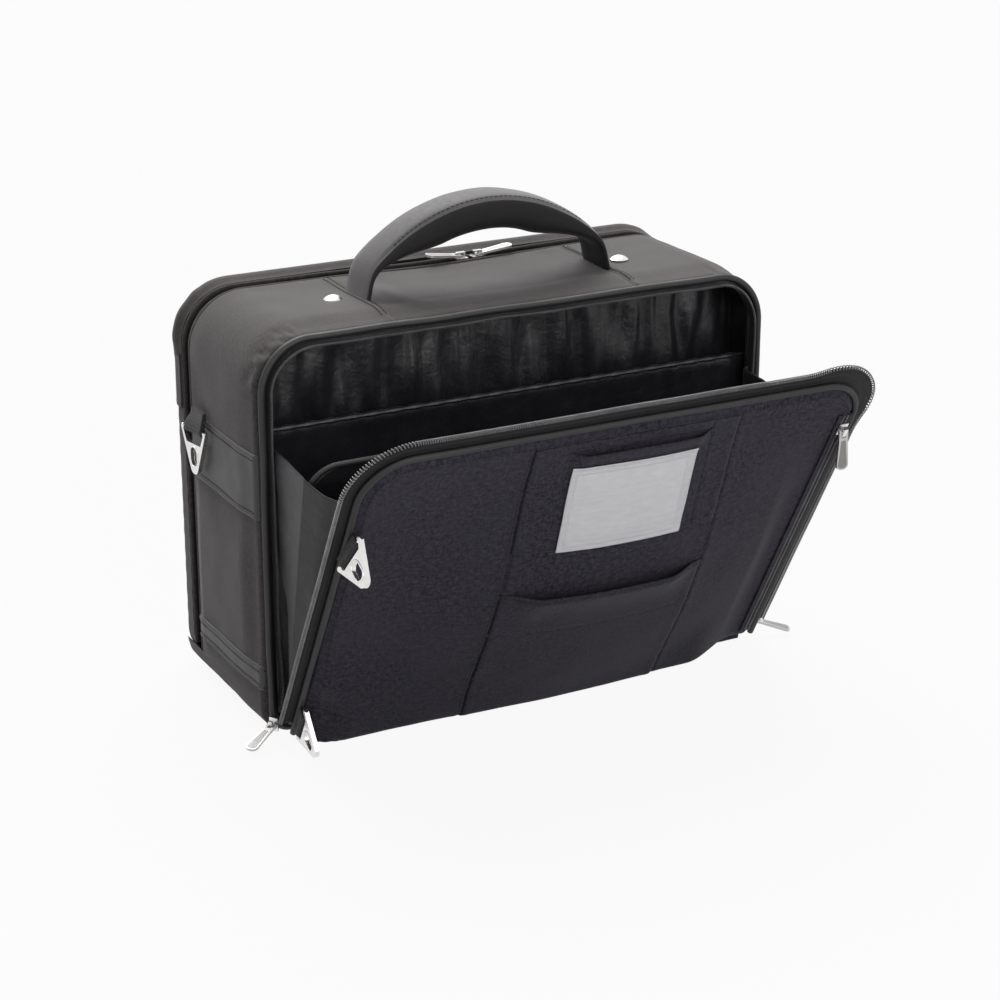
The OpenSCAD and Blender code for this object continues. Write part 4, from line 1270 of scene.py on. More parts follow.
def hang_rear_gusset(label, side):
    """Gusset from the front rim to the laptop divider, with one deep fold low down."""
    up, share = np.linspace(0, 1, 90), np.linspace(0, 1, 60)
    middle = (share * (1 - share) * 4)[None]
    rim_z = GUSSET_LOW + (GUSSET_HIGH - GUSSET_LOW) * up
    rows = []
    for zr, fold, (yd, zd) in zip(rim_z, np.interp(rim_z, FOLD_Z, FOLD_Y), divider_edge(up)):
        deep = 26 * smooth((156 - zr) / 60) * smooth((zr - 6) / 30)
        keys = [
            (GUSSET_X + 2, -73.5, zr), (GUSSET_X + 2 - deep * 0.5, -74 - 0.15 * deep, zr),
            (GUSSET_X - deep, (fold - 73) / 2 - 1, zr),
            (GUSSET_X - 0.6 - deep * 0.35, fold + 1.6, zr + (zd - zr) * 0.3),
            (GUSSET_X - 0.8, fold - 1.2, zr + (zd - zr) * 0.35),
            (GUSSET_X - 0.6, (fold + yd) / 2, (zr + zd) / 2), (GUSSET_X - 1.0, yd, zd)]
        rows.append(eased(keys, len(share), 4)[0])
    grid = np.array(rows)
    crumple = soft_noise(grid, 24.0, 6.6 + side) + 0.5 * soft_noise(grid, 10.0, 2.6)
    grid[..., 0] += 0.9 * crumple * middle
    grid[..., 0] -= np.sin(share * math.pi)[None] * ridge(up[:, None] - 0.42, 0.07) * 1.6
    grid[..., 0] *= side
    uv = points_of(share[None] * 60, up[:, None] * 200)
    gusset(label + "_rear", grid, uv, "gusset", "divider", (0, -0.073, 0.1), (0, -0.094, 0.103),
           flat=(0.09, 0.21), held="folded", rests_on=["body_shell"])


def hang_front_gusset(label, side):
    """Gusset from the laptop divider to the flap, sagging at its top; its nylon is painted darker as
    shade.
    """
    up, share = np.linspace(0, 1, 90), np.linspace(0, 1, 60)
    middle = (share * (1 - share) * 4)[None]
    near, far = divider_edge(up), flap_edge(np.linspace(14, GUSSET_TIP, len(up)))
    grid = np.zeros((len(up), len(share), 3))
    for axis in (0, 1):
        grid[..., axis + 1] = near[:, None, axis] * (1 - share) + far[:, None, axis] * share
    across, up = np.sin(share * math.pi)[None], up[:, None]
    grid[..., 2] -= 12 * across * smooth((up - 0.5) / 0.5)
    bow = across * (2 + 9 * smooth(up)) + 5 * ridge(share[None] - 0.55 + 0.2 * up, 0.09) * up
    crumple = soft_noise(grid, 34.0, 3.9 + side)
    grid[..., 0] = side * (GUSSET_X - 0.4 - bow + 1.2 * crumple * middle)
    uv = points_of(share[None] * 90, up * 210)
    out = Vector((0, -math.cos(FLAP_OPEN), -math.sin(FLAP_OPEN)))
    tip = Vector(on_flap(0.0, GUSSET_TIP, 0.0)) * MM
    # The front gusset takes the gusset nylon painted darker as shade.
    gusset(label + "_front", grid, uv, "deep_gusset", "flap", tip - out * 0.128, tip - out * 0.0004,
           flat=(0.11, 0.22), held="stretched", rests_on=["flap_panel"])


class BAG_OT_gussets(bpy.types.Operator):
    """Hangs the folded gussets between the rim, the laptop divider and the flap"""

    bl_idname = "bag.gussets"
    bl_label = "Gussets"

    def execute(self, context):
        for label, side in SIDES:
            hang_rear_gusset(label, side)
            hang_front_gusset(label, side)
        return {"FINISHED"}


# The flap


def flap_edge_gap(x, v):
    """Distance to the flap's nearest edge."""
    return np.minimum(rounded_half_width(v, FLAP_HALF, FLAP_HIGH, FLAP_R) - np.abs(x), FLAP_HIGH - v)


def flap_face(x, v):
    """Height of the flap's padded front over its back plane."""
    x, v = np.asarray(x, float), np.asarray(v, float)
    place = points_of(x, v)
    away = (x - CROWN_X) ** 2 + (v - CROWN_V) ** 2
    cap = CROWN + np.sqrt(np.maximum(CROWN_R**2 - away, 0)) - CROWN_R
    dome = 0.5 * (cap + np.sqrt(cap * cap + 60.0))
    gap = flap_edge_gap(x, v)
    right_gap = FLAP_HALF - POCKET_ZIP_REACH - x
    dome = dome * smooth(np.minimum(gap, right_gap - 3) / 26)
    slack = smooth((v - 5) / 8) * (1 - smooth((v - 42) / 30))
    fill = 19.5 * smooth((x + FLAP_HALF + 11 - 3.5 * slack) / (20 + 18 * slack))
    fill = fill * smooth(right_gap / 55)
    fill = fill * (1 - smooth((v - 6) / 130))
    dome = 0.5 * (dome + fill + np.sqrt((dome - fill) ** 2 + 20.0)) - 1.5
    t = 4.6 + 2.9 * smooth(gap / 6) + dome
    loose = 0.8 * soft_noise(place, 62.0, 5.2) + 0.3 * soft_noise(place, 21.0, 1.2)
    t = t + loose * smooth(right_gap / 12)
    pucker = np.sin(v / 3.3 + 2.5 * soft_noise(place, 25.0, 8.0))
    for seam in (POCKET_L, POCKET_R):
        near = x - seam
        t = t + (-1.3 * ridge(near, 0.8) + 0.35 * ridge(np.abs(near) - 4, 3.0)
                 + 0.2 * pucker * ridge(near, 5.0))
    for seam in (SLIT_L, SLIT_R):
        t = t - 1.1 * ridge(x - seam, 0.7) * smooth((v - MID_SEAM) / 5) * smooth((277 - v) / 4)
    inside = smooth((x - POCKET_L) / 3) * smooth((POCKET_R - x) / 3)
    t = t - inside * (1.1 * ridge(v - MID_SEAM, 0.8) - 0.3 * ridge(np.abs(v - MID_SEAM) - 4, 3))
    t = t + 0.3 * pucker * ridge(gap - 3, 4.0)
    foot = np.clip((v - FLAP_LOW) / 13.0, 0, 1)
    return np.maximum(t * np.sqrt(1 - (1 - foot) ** 2), 0.2)


def flap_normals(x, v):
    """Unit normals of the flap's front, in the bag's frame."""
    step = 0.6
    here = on_flap(x, v, flap_face(x, v))
    right = on_flap(x + step, v, flap_face(x + step, v)) - here
    above = on_flap(x, v + step, flap_face(x, v + step)) - here
    return unit(np.cross(right, above))


def above_floor(points, lift=0.6):
    """Points kept over the floor."""
    points = points.copy()
    points[..., 2] = np.maximum(points[..., 2], lift)
    return points


def flap_run(x, v, lift=0.0):
    """A run for stitches on the flap's front: its points and normals."""
    return on_flap(x, v, flap_face(x, v) + lift), flap_normals(x, v)


def flap_patch(name, x0, x1, v0, v1, lift, finish, thickness, columns=110, rows=90, slit=None):
    """A cloth patch laid on the flap; lift gives its height over the flap's front."""
    x, v = np.meshgrid(np.linspace(x0, x1, columns), np.linspace(v0, v1, rows))
    height = lift(x, v)
    grid = above_floor(on_flap(x, v, flap_face(x, v) + height), 0.4)
    uv = points_of(x - x0, v - v0).reshape(-1, 2)
    faces = np.array(lattice_faces(rows, columns))
    if slit:
        left, right, low, high = slit
        xs, vs = x.reshape(-1)[faces].mean(1), v.reshape(-1)[faces].mean(1)
        faces = faces[(xs < left) | (xs > right) | (vs < low) | (vs > high)]
    used = np.unique(faces)
    faces = np.searchsorted(used, faces).tolist()
    made = piece(name, grid.reshape(-1, 3)[used], faces, finish, uv[used])
    return applied(thicken(made, thickness, 0.0))


def pad_flap():
    """Padded flap panel, lined at its back."""
    x, v = (np.array(a) for a in panel_grid(FLAP_LOW, FLAP_HIGH, FLAP_HALF, FLAP_R, 330, 1.6))
    quilt = 0.5 * soft_noise(points_of(x, v), 40.0, 4.0) * smooth(flap_edge_gap(x, v) / 8)
    front = above_floor(on_flap(x, v, flap_face(x, v)))
    rear = above_floor(on_flap(x, v, 0.2 - quilt * 0.4), 0.8)
    pad = pad_mesh("flap_pad", x, v, front, rear, ["flap_cloth", "lining"])
    carried(pad, "flap", "flap_cloth", "flap_panel")


def edge_flap():
    """The flap's piping and its half of the front zip, flared at the free top right corner."""
    path = rim_path(FLAP_HALF, FLAP_LOW + 3, FLAP_HIGH, FLAP_R, step=2.6)
    sew_piping("flap_cord", "flap", "flap_piping", path,
               round_section(2.6, FLAP_T - 2.4, 2.4, 14), on_flap, rim_sway(0.3, 3.3), "flap_edging")
    path = rim_path(FLAP_HALF, FLAP_LOW + 12, FLAP_HIGH, FLAP_R, step=2.2)
    section = []
    for o in np.linspace(0.2, FLAP_TAPE_W, 17):
        rows_sewn = 0.3 * ridge(o - 4.6, 0.9) + 0.3 * ridge(o - 9.0, 0.9)
        section.append((o, 1.4 + 0.5 * math.sin(o / FLAP_TAPE_W * math.pi) + rows_sewn))
    section += [(o, t - TAPE_T) for o, t in section[::-1]]
    section.append(section[0])
    wave = rim_sway(0.35, 5.9)

    def flare(points):
        return 0.55 * smooth((points[:, 0] - 140) / 40) * smooth((points[:, 1] - 225) / 40)

    def tape_wave(points):
        do, df = wave(points)
        return do[:, None] + flare(points)[:, None] * np.array(section)[None, :, 0], df

    def coil_wave(points):
        do, df = wave(points)
        return do + flare(points) * (FLAP_TAPE_W + 0.4), df

    zip_half("flap", "flap", "flap_zip", path, section, on_flap, tape_wave, (FLAP_TAPE_W + 0.6, 1.3),
             coil_wave, radius=1.25, wire=0.45)


def fold_hinge():
    """Rolled cloth hinge along the flap's foot."""
    run = np.linspace(-FLAP_HALF + 5, FLAP_HALF - 5, 150)
    shape = np.array([(PIPING_F + 2.9, 3.2), (FLAP_F - 3, 1.7), (FLAP_F, 1.2), (FLAP_F + 2.4, 2.2),
                      (FLAP_F + 3.4, 4.9), (FLAP_F + 2.4, 7.4), (FLAP_F, 8.2), (FLAP_F - 3, 7.6),
                      (PIPING_F + 2.9, 6.6), (PIPING_F + 2.9, 3.2)])
    wave = 0.25 * ripple(run, 5.0, 2, 30, 3.0)
    middle = np.array([FLAP_F - 1.0, 4.8])
    spread = (shape - middle)[None] * (1 + 0.06 * wave)[:, None, None] + middle
    grid = upright(run[:, None], spread[..., 1], spread[..., 0])
    fold = lattice("flap_hinge_fold", grid, crossed(run, run_lengths(shape)), "flap_cloth", caps=True)
    carried(fold, "body", "flap_cloth", "flap_hinge_strip")


def stitch_flap():
    """Stitching beside the flap's seams and inside its edge."""
    runs = []
    for seam, offs in ((POCKET_L, (-2.4, 2.4)), (POCKET_R, (-2.4,))):
        for off in offs:
            v = np.linspace(14, 272, 150)
            x = np.full_like(v, seam + off)
            runs.append(flap_run(x, v))
    inset = 4.5
    path = rim_path(FLAP_HALF - inset, FLAP_LOW + 12, FLAP_HIGH - inset, FLAP_R - inset, step=3.0)
    runs.append(flap_run(*path[0].T))
    carried(stitches("flap_stitches", runs, radius=0.32, finish="flap_thread"), "flap", "flap_cloth")


class BAG_OT_flap(bpy.types.Operator):
    """Sews the padded flap with its piping, zip half and hinge edge"""

    bl_idname = "bag.flap"
    bl_label = "Flap"

    def execute(self, context):
        pad_flap()
        edge_flap()
        fold_hinge()
        stitch_flap()
        return {"FINISHED"}


def edges(x, x0, x1, width=5.0):
    """1 between two edges, falling to 0 at each."""
    return smooth((x - x0) / width) * smooth((x1 - x) / width)


def low_lift(x, v):
    """How far the lower pocket stands off the flap: open at its mouth, held down along the tacks."""
    across = edges(x, POCKET_L, POCKET_R, 30.0)
    gape = 8.0 * across * ridge(np.maximum(LOW_MOUTH - v, 0), 21.0)
    hem = 0.4 * ridge(LOW_MOUTH - 5 - v, 3.0)
    row = -0.35 * ridge(v - TACK_V, 1.2) * edges(x, POCKET_L, POCKET_R)
    return 0.5 + gape + hem + row


def high_lift(x, v):
    """How far the upper pocket stands off the flap: open below its slit."""
    across = edges(x, SLIT_L, SLIT_R, 12.0)
    gape = 4.6 * across * ridge(np.maximum(HIGH_MOUTH - v, 0), 9.0)
    return 0.5 + gape * (v < HIGH_MOUTH + 0.5)


def sew_pockets():
    """Lower and upper patch pockets."""
    left, right = POCKET_L + 0.8, POCKET_R - 0.8
    slit = SLIT_L, SLIT_R, HIGH_MOUTH, HIGH_MOUTH + 2.5
    for label, low, high, lift, flat, gap in (
            ("lower", FLAP_LOW + 2.5, LOW_MOUTH, low_lift, (0.1585, 0.142), None),
            ("upper", MID_SEAM + 0.8, POCKET_TOP, high_lift, (0.1585, 0.0907), slit)):
        made = flap_patch(label + "_pocket_cloth", left, right, low, high, lift, "flap_cloth", 1.0,
                          130, 110, gap)
        carried(made, "flap", "flap_cloth", label + "_pocket")


def sew_window():
    """Plain card behind a clear film with a ribbed edge."""
    x0, x1 = WINDOW_X - WINDOW_W / 2, WINDOW_X + WINDOW_W / 2
    v0, v1 = WINDOW_V - WINDOW_H / 2, WINDOW_V + WINDOW_H / 2

    def card_lift(x, v):
        return high_lift(x, v) + 0.85

    def film_lift(x, v):
        inner = np.minimum(np.minimum(x - x0, x1 - x), np.minimum(v - v0, v1 - v))
        rib = 0.7 * ridge(inner - 5.5, 0.8) + 0.6 * ridge(inner - 1.0, 1.0)
        bag = 0.5 * smooth((inner - 6) / 10)
        wave = 0.35 * soft_noise(points_of(x, v), 26.0, 9.0)
        return high_lift(x, v) + 1.6 + rib + bag + wave * smooth(inner / 10)

    card = flap_patch("card_stock", WINDOW_X - CARD_W / 2, WINDOW_X + CARD_W / 2,
                      WINDOW_V - CARD_H / 2, WINDOW_V + CARD_H / 2, card_lift, "card", 0.5, 70, 50)
    carried(card, "flap", "card", "id_card")
    film = flap_patch("window_sheet", x0, x1, v0, v1, film_lift, "film", 0.5, 120, 90)
    carried(film, "flap", "window_film", "card_window")


def stitch_pockets():
    """Stitching along the pockets' hems and the thick tacks at their corners."""
    x = np.linspace(POCKET_L + 2, POCKET_R - 2, 110)
    runs = []
    for at, lift in ((LOW_MOUTH - 3.0, low_lift(x, LOW_MOUTH - 3.0) + 0.45), (MID_SEAM + 2.6, 0.95)):
        v = np.full_like(x, at)
        runs.append(flap_run(x, v, lift))
    thread = stitches("pocket_stitches", runs, radius=0.3, finish="flap_thread")
    tacks = []
    for at in (TACK_V, LOW_MOUTH - 3):
        for seam in (POCKET_L, POCKET_R):
            for off in np.linspace(-1.6, 1.6, 7):
                x = np.linspace(seam - 5.5, seam + 5.5, 12)
                v = np.full_like(x, at + off)
                tacks.append(flap_run(x, v, 0.9))
    tack = stitches("pocket_tacks", tacks, radius=0.4, length=9.0, gap=0.8, finish="flap_thread")
    carried(joined("pocket_stitches", [thread, tack]), "flap", "flap_cloth")


def sew_pocket_zip():
    """Zip of the side pocket, down the flap's right edge."""
    v = np.linspace(FLAP_LOW + 12, POCKET_ZIP_TOP, 120)
    parts = []
    for side in (-1, 1):
        w = np.linspace(1.6, 6.2, 7)
        xx = POCKET_ZIP_X + side * w[None] + 0 * v[:, None]
        vv = v[:, None] + 0 * w[None]
        grid = on_flap(xx, vv, np.maximum(flap_face(xx, vv), FLAP_T) + 1.1)
        uv = points_of(vv, w[None] + 0 * vv)
        tape = lattice("pocket_tape", grid, uv, "flap_cloth" if side < 0 else "zip_tape")
        parts.append(thicken(tape, 0.8, 0.0))
        track = (points_of(np.full_like(v, POCKET_ZIP_X + side * 1.5), v),
                 np.tile([1.0, 0.0], (len(v), 1)), v - v[0])
        parts.append(coil("pocket_coil", track, 0.0, FLAP_T + 1.3, on_flap, radius=0.85, wire=0.32))
    carried(joined("pocket_chain", parts), "flap", "zip_tape", "pocket_zip")


def loop_flap_rings():
    """Webbing loops of the flap's two rings."""
    for label, at_v, turn_by in (("upper", UPPER_RING_V, UPPER_RING_TURN),
                                 ("lower", LOWER_RING_V, 0.0)):
        turn = np.linspace(-0.2 * math.pi, 1.2 * math.pi, 22)
        wrap = [(2.3 * math.cos(a), 2.3 * math.sin(a)) for a in turn]
        track = np.array([(1.5, -6.4), (1.4, -3.4)] + wrap + [(-1.4, -3.4), (-1.5, -6.4)])

        def place(a, b, across, at_v=at_v, turn_by=turn_by):
            x = FLAP_RING_X + a * math.cos(turn_by) + across * math.sin(turn_by)
            v = at_v - a * math.sin(turn_by) + across * math.cos(turn_by)
            return on_flap(x, v, FLAP_RING_T + b)

        loop = webbing_loop(label + "_flap_web", track, place, LOOP_W)
        carried(loop, "flap", "webbing", label + "_flap_loop")


class BAG_OT_flap_pockets(bpy.types.Operator):
    """Sews the flap's pockets, card window, side zip and ring loops"""

    bl_idname = "bag.flap_pockets"
    bl_label = "Flap pockets"

    def execute(self, context):
        sew_pockets()
        sew_window()
        stitch_pockets()
        sew_pocket_zip()
        loop_flap_rings()
        return {"FINISHED"}


# The rear lid


def lid_swell(x, z):
    """Soft waves of the lid's back."""
    place = points_of(x, z)
    return 1.6 * soft_noise(place, 90.0, 2.4) + 0.5 * soft_noise(place, 32.0, 6.4)


def make_lid():
    """Rear lid: gathered edge, padded back and lining as one shell."""
    path = rim_path(HALF_W, LID_LOW, BAG_H, TOP_R, LOW_R, closed=True, step=2.6)
    quarter = np.linspace(0, math.pi / 2, 9)
    section = [(0.0, f) for f in np.linspace(LID_F, LID_ROLL_F, 6)]
    section += roll(LID_ROLL_F, ROLL_R, quarter[1:], -1)
    wall = np.array(section)
    bulge = smooth((LID_F - wall[:, 1]) / 9)

    def puff(points):
        return 3.0 * smooth((points[:, 1] - 225) / 45)[:, None] * bulge[None], 0.0

    grid, uv = swept(path, wall, upright, puff)
    normals, length = path[1:]
    gather = 0.35 * ripple(length, 2.4, 3, 40)
    corner = np.clip(1 - np.abs(np.abs(normals[:, 0]) - 0.7) * 2.2, 0, 1)
    push(grid, normals, (gather * corner)[:, None])
    shrink = np.append(np.linspace(1, 0.02, 45)[1:], [0.005, 0.0012, 0.0004])
    middle = np.array([0.0, (LID_LOW + BAG_H) / 2])
    seat = grid[:, -1][:, [0, 2]]
    x, z = np.moveaxis(middle + (seat - middle)[:, None] * shrink[None, :, None], -1, 0)
    swell = smooth((1 - shrink) * 9) * lid_swell(x, z) * 0.6
    back = np.concatenate([grid, upright(x, z, LID_BACK_F - swell)], 1)
    inside = upright(x, z, LID_BACK_F + 3.4)[:, ::-1]
    edge = roll(LID_ROLL_F, LID_LIP_R, quarter[::-1], -1)
    edge += [(LID_LIP_R - ROLL_R, f) for f in np.linspace(LID_ROLL_F, LID_F, 6)[1:]]
    lip, _ = swept(path, np.array(edge), upright)
    whole = np.concatenate([back, inside, lip, grid[:, :1]], 1)
    uv = points_of(whole[..., 0], whole[..., 2]) + 0.7 * whole[..., 1:2]
    columns = whole.shape[1]
    lining = (np.arange(columns - 1) >= back.shape[1]).astype(int)
    face_finish = np.tile(lining, len(whole) - 1)
    lid = lattice("lid_cloth", whole, uv, ["side_cloth", "lining"], face_finish=face_finish)
    carried(lid, "lid", "side_cloth", "lid_panel")


def strap_lid():
    """Trolley strap across the lid, sewn down at its ends, and the lid's stitching."""
    lo, hi = (np.array(c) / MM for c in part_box("trolley_strap"))
    turn = np.linspace(0, math.pi / 2, 9)
    end_x = HALF_W - ROLL_R
    reach = ROLL_R + 1.0 + 0.6 * np.sin(turn * 2)
    seat = -LID_BACK_F + 0.6
    half = [(end_x + ROLL_R + 1.0, 1.5 - LID_F)]
    half += [(end_x + r * math.cos(a), -LID_ROLL_F + r * math.sin(a)) for r, a in zip(reach, turn)]
    half += [(end_x - 14, seat), (end_x - 26, seat + 0.6), (end_x - 38, seat + 5.0),
             (end_x - 60, seat + 5.6), (20.0, seat + 5.8)]
    half = np.array(half)
    centre, run = eased(np.vstack([half * [-1, 1], half[::-1]]), 300, 6)
    z = np.linspace(lo[2], hi[2], 26)
    hem = np.minimum(z - lo[2], hi[2] - z)
    ahead = unit(np.gradient(centre, axis=0))
    out = points_of(-ahead[:, 1], ahead[:, 0])
    place = crossed(run, z)
    lift = 0.3 * ridge(hem - 3, 1.6)[None] + 0.3 * soft_noise(place, 30.0, 5.0)
    x, y = (centre[:, k:k + 1] + out[:, k:k + 1] * lift for k in (0, 1))
    grid = points_of(x, y, z[None])
    strap = applied(thicken(lattice("trolley_band", grid, place, "side_cloth"), 1.4, -1.0))
    carried(strap, "lid", "side_cloth", "trolley_strap")
    edge = centre[np.abs(centre[:, 0]) < end_x - 4]
    tracks = [np.column_stack([edge[:, 0], edge[:, 1] + 0.2, np.full(len(edge), at)])
              for at in (lo[2] + 5.2, hi[2] - 5.2)]
    inset = 12
    rim, _, _ = rim_path(HALF_W - inset, LID_LOW + inset, BAG_H - inset, TOP_R - inset, 6.0,
                         closed=True, step=3.0)
    tracks.append(upright(rim[:, 0], rim[:, 1], LID_BACK_F - 0.1))
    carried(stitches("lid_stitches", [(track, (0, 1, 0)) for track in tracks]), "lid", "side_cloth")


class BAG_OT_lid(bpy.types.Operator):
    """Sews the rear lid and the trolley strap across it"""

    bl_idname = "bag.lid"
    bl_label = "Rear lid"

    def execute(self, context):
        make_lid()
        strap_lid()
        return {"FINISHED"}


# Metal


def ring_rim(name, centre, bar, hang, length):
    """Raised rim round the eye of a strap ring, on both faces."""
    centre, bar, hang = (np.asarray(a, float) for a in (centre, bar, hang))
    face = np.cross(bar, hang)
    turn = np.linspace(0, 2 * math.pi, 41)[:-1]
    eye = -length + 5 + 4.3 + 4
    eye_r, straight, lift, bead = 4.9, 2.7, 1.5, 0.75
    parts = []
    for side in (-1, 1):
        along = eye_r * np.cos(turn)
        down = -eye + eye_r * np.sin(turn) + straight * np.sign(np.sin(turn))
        track = centre + along[:, None] * bar + down[:, None] * hang + side * lift * face
        ahead = unit(np.roll(track, -1, 0) - np.roll(track, 1, 0))
        grid, _ = tube(track, np.cross(ahead, face), np.tile(face, (len(track), 1)), bead, 8)
        grid = np.concatenate([grid, grid[:1]])
        uv = np.zeros((*grid.shape[:2], 2))
        parts.append(lattice(name, grid, uv, "nickel", wrap=True))
    return joined(name, parts)


def pull_inlay(name, pivot, ahead, side):
    """Darker sunk-looking field on both faces of a zip pull, inside its bright edge."""
    pivot, ahead, side = (np.asarray(a, float) for a in (pivot, ahead, side))
    face = np.cross(ahead, side)
    turn = np.linspace(-math.pi / 2, math.pi / 2, 17)
    foot, half, tip, tip_r, straight = 7.4, 1.8, 25.16, 2.7, 0.96
    sunk, raised = 0.85, 1.0
    shape = [(foot, half), (foot, -half)]
    shape += [(tip + tip_r * math.cos(a), straight * np.sign(a) + tip_r * math.sin(a)) for a in turn]
    flat = np.array([pivot + x * ahead + y * side for x, y in shape])
    count = len(flat)
    points, faces = [], []
    for way in (-1, 1):
        base = len(points)
        points += list(flat + way * sunk * face) + list(flat + way * raised * face)
        field = [base + count + k for k in range(count)]
        faces.append(field if way > 0 else field[::-1])
        for k in range(count):
            quad = [base + k, base + (k + 1) % count, field[(k + 1) % count], field[k]]
            faces.append(quad if way > 0 else quad[::-1])
    return piece(name, np.array(points), faces, "dark_metal", flat=True)


def plate(made, finish, bevel):
    """Gives a metal solid its finish and soft edges."""
    made.data.materials.clear()
    made.data.materials.append(finish_of(finish))
    soften = made.modifiers.new("edges", "BEVEL")
    soften.width = bevel * MM
    soften.segments = 3
    soften.limit_method = "ANGLE"
    soften.harden_normals = True


def rim_rings():
    """Raised rims on the four strap rings."""
    s, c = math.sin(FLAP_OPEN), math.cos(FLAP_OPEN)
    out, up = np.array([0, -c, -s]), np.array([0, -s, c])
    turned = up * math.cos(UPPER_RING_TURN) + np.array([math.sin(UPPER_RING_TURN), 0, 0])
    for label, side in SIDES:
        along = (side * math.sin(RING_TURN), math.cos(RING_TURN), 0)
        rim = ring_rim(label + "_eye_rim", (side * RING_X, RING_Y, RING_Z), along, (0, 0, -1), RING_LEN)
        carried(rim, label + "_ring", "nickel")
    for label, at_v, bar in (("upper", UPPER_RING_V, turned), ("lower", LOWER_RING_V, up)):
        centre = on_flap(FLAP_RING_X, at_v, FLAP_RING_T)
        carried(ring_rim(label + "_eye_rim", centre, bar, out, FLAP_RING_LEN), label + "_ring", "nickel")


def inlay_pulls():
    """Sunk fields of the five zip pulls."""
    pulls = []
    for (label, side), main_x in zip(SIDES, MAIN_PULL_X):
        ahead = side * math.cos(MAIN_PULL_LIFT), 0, math.sin(MAIN_PULL_LIFT)
        at = main_x, -CHAIN_F, BAG_H
        pulls.append((label + "_main", label + "_puller", at, ahead, (0, side, 0)))
    at = on_flap(POCKET_ZIP_X, POCKET_ZIP_TOP - 12, FLAP_T + 5.4)
    pulls.append(("pocket", "pocket_puller", at, (0, 0, -1), (1, 0, 0)))
    x, y, z = PARKED_PULL
    for label, side in SIDES:
        yaw = PARKED_TURN if side < 0 else math.pi - PARKED_TURN
        flat = math.cos(PARKED_DROOP)
        ahead = math.cos(yaw) * flat, math.sin(yaw) * flat, -math.sin(PARKED_DROOP)
        across = -math.sin(yaw), math.cos(yaw), 0
        pulls.append((label + "_flap", label + "_flap_puller", (side * x, y, z), ahead, across))
    for name, body, pivot, ahead, across in pulls:
        carried(pull_inlay(name + "_inlay", pivot, ahead, across), body, "nickel")


class BAG_OT_metal(bpy.types.Operator):
    """Plates the rings, rivets, sliders and pulls"""

    bl_idname = "bag.metal"
    bl_label = "Metal"

    def execute(self, context):
        for name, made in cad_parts.items():
            if name.endswith("_ring"):
                plate(made, "nickel", 0.7)
            elif name.endswith(("_slider", "_rivets")):
                plate(made, "nickel", 0.4)
            elif name.endswith("_pull"):
                plate(made, "satin_nickel", 0.4)
        rim_rings()
        inlay_pulls()
        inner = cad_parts["handle_plates"].data.materials
        inner.clear()
        inner.append(finish_of("lining"))
        return {"FINISHED"}


# The stage


def lay_floor(scene):
    """Pale floor that shows as white and keeps the bag's shadow."""
    f = Finish("pale_floor")
    glow = f.node("Emission", None, {"Color": (1, 1, 1), "Strength": 1.0})
    blend = f.node("MixShader", None, {0: f.seen_rays() * 0.93, 1: f.shader, 2: glow})
    f.finish(blend, Base_Color=(0.42, 0.42, 0.42), Roughness=0.9, Specular_IOR_Level=0.1)
    mesh = bpy.data.meshes.new("floor")
    far = 6.0
    corners = [(-far, -far, 0), (far, -far, 0), (far, far, 0), (-far, far, 0)]
    mesh.from_pydata(corners, [], [(0, 1, 2, 3)])
    mesh.materials.append(f.material)
    floor = bpy.data.objects.new("floor", mesh)
    scene.collection.objects.link(floor)


def light_world(scene):
    """Dim soft sky that shows as white."""
    scene.world = bpy.data.worlds.new("studio")
    scene.world.use_nodes = True
    sky = Nodes(scene.world.node_tree)
    soft = sky.node("Background", None, {"Color": (0.96, 0.97, 1.0), "Strength": 0.18})
    white = sky.node("Background", None, {"Color": (1, 1, 1), "Strength": 1.0})
    shown = sky.node("MixShader", None, {0: sky.seen_rays(), 1: soft, 2: white})
    sky.node("OutputWorld", None, {"Surface": shown})


def aimed(scene, name, data, place, aim):
    """A lamp or a camera at a place, turned towards a point."""
    made = bpy.data.objects.new(name, data)
    made.location = place
    made.rotation_mode = "QUATERNION"
    made.rotation_quaternion = (Vector(aim) - Vector(place)).to_track_quat("-Z", "Y")
    scene.collection.objects.link(made)
    return made


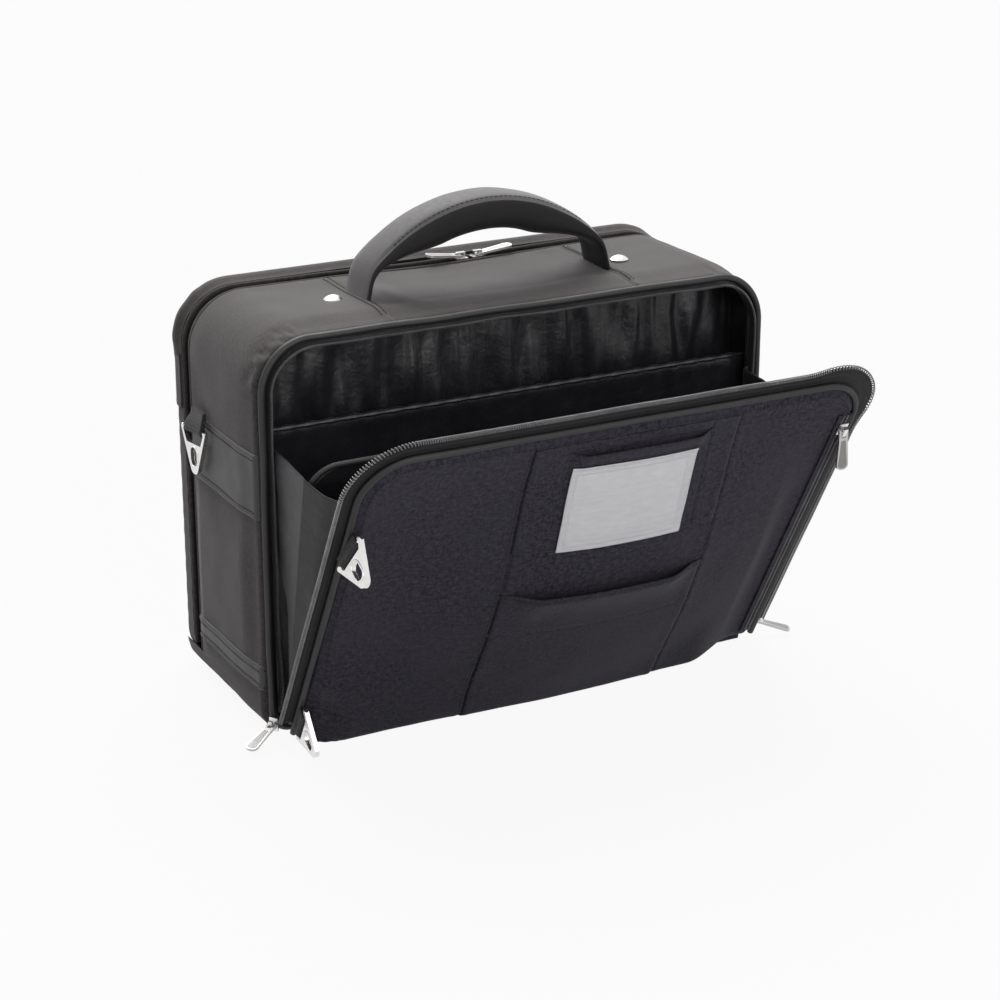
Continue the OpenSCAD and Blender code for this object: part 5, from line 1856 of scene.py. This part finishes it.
class BAG_OT_stage(bpy.types.Operator):
    """Sets the floor, the soft lamps and the camera"""

    bl_idname = "bag.stage"
    bl_label = "Stage"

    def execute(self, context):
        scene = context.scene
        scene.view_settings.view_transform = "Standard"
        lay_floor(scene)
        light_world(scene)
        sun = bpy.data.lights.new("overhead", "SUN")
        sun.energy = 4.1
        sun.angle = math.radians(55)
        aimed(scene, "overhead", sun, (0, 0, 0), (-0.15, -0.7, -1.0))
        for name, place, aim, size, power in (
                ("left_fill", (-1.7, -0.5, 0.9), (-0.1, 0, 0.15), 1.2, 0.3),
                ("front_fill", (0.1, -2.0, 0.9), (0, 0, 0.15), 1.4, 15.0)):
            lamp = bpy.data.lights.new(name, "AREA")
            lamp.size = size
            lamp.energy = power
            aimed(scene, name, lamp, place, aim)
        lens = bpy.data.cameras.new("camera")
        lens.lens = CAMERA_LENS
        lens.sensor_width = CAMERA_WIDTH
        scene.camera = aimed(scene, "camera", lens, CAMERA_AT, CAMERA_AIM)
        return {"FINISHED"}


class BAG_PT_panel(bpy.types.Panel):
    """Lists the steps that build the bag"""

    bl_label = "Flight bag"
    bl_space_type = "VIEW_3D"
    bl_region_type = "UI"
    bl_category = "Flight bag"

    def draw(self, context):
        for step in STEPS:
            self.layout.operator(step.bl_idname)
        for group in (context.scene.bag_colours, context.scene.bag_sizes):
            box = self.layout.box()
            for key in group.bl_rna.properties.keys():
                if key not in {"rna_type", "name"}:
                    box.prop(group, key)


STEPS = (
    BAG_OT_stage, BAG_OT_body, BAG_OT_rims, BAG_OT_sides, BAG_OT_handle, BAG_OT_dividers,
    BAG_OT_gussets, BAG_OT_flap, BAG_OT_flap_pockets, BAG_OT_lid, BAG_OT_metal)
CLASSES = (BagColours, BagSizes, *STEPS, BAG_PT_panel)


def register():
    for made in CLASSES:
        bpy.utils.register_class(made)
    bpy.types.Scene.bag_colours = PointerProperty(type=BagColours)
    bpy.types.Scene.bag_sizes = PointerProperty(type=BagSizes)


def unregister():
    del bpy.types.Scene.bag_sizes
    del bpy.types.Scene.bag_colours
    for made in reversed(CLASSES):
        bpy.utils.unregister_class(made)


def main():
    register()
    for step in STEPS:
        group, name = step.bl_idname.split(".")
        getattr(getattr(bpy.ops, group), name)()
    bpy.context.view_layer.update()


if __name__ == "__main__":
    main()
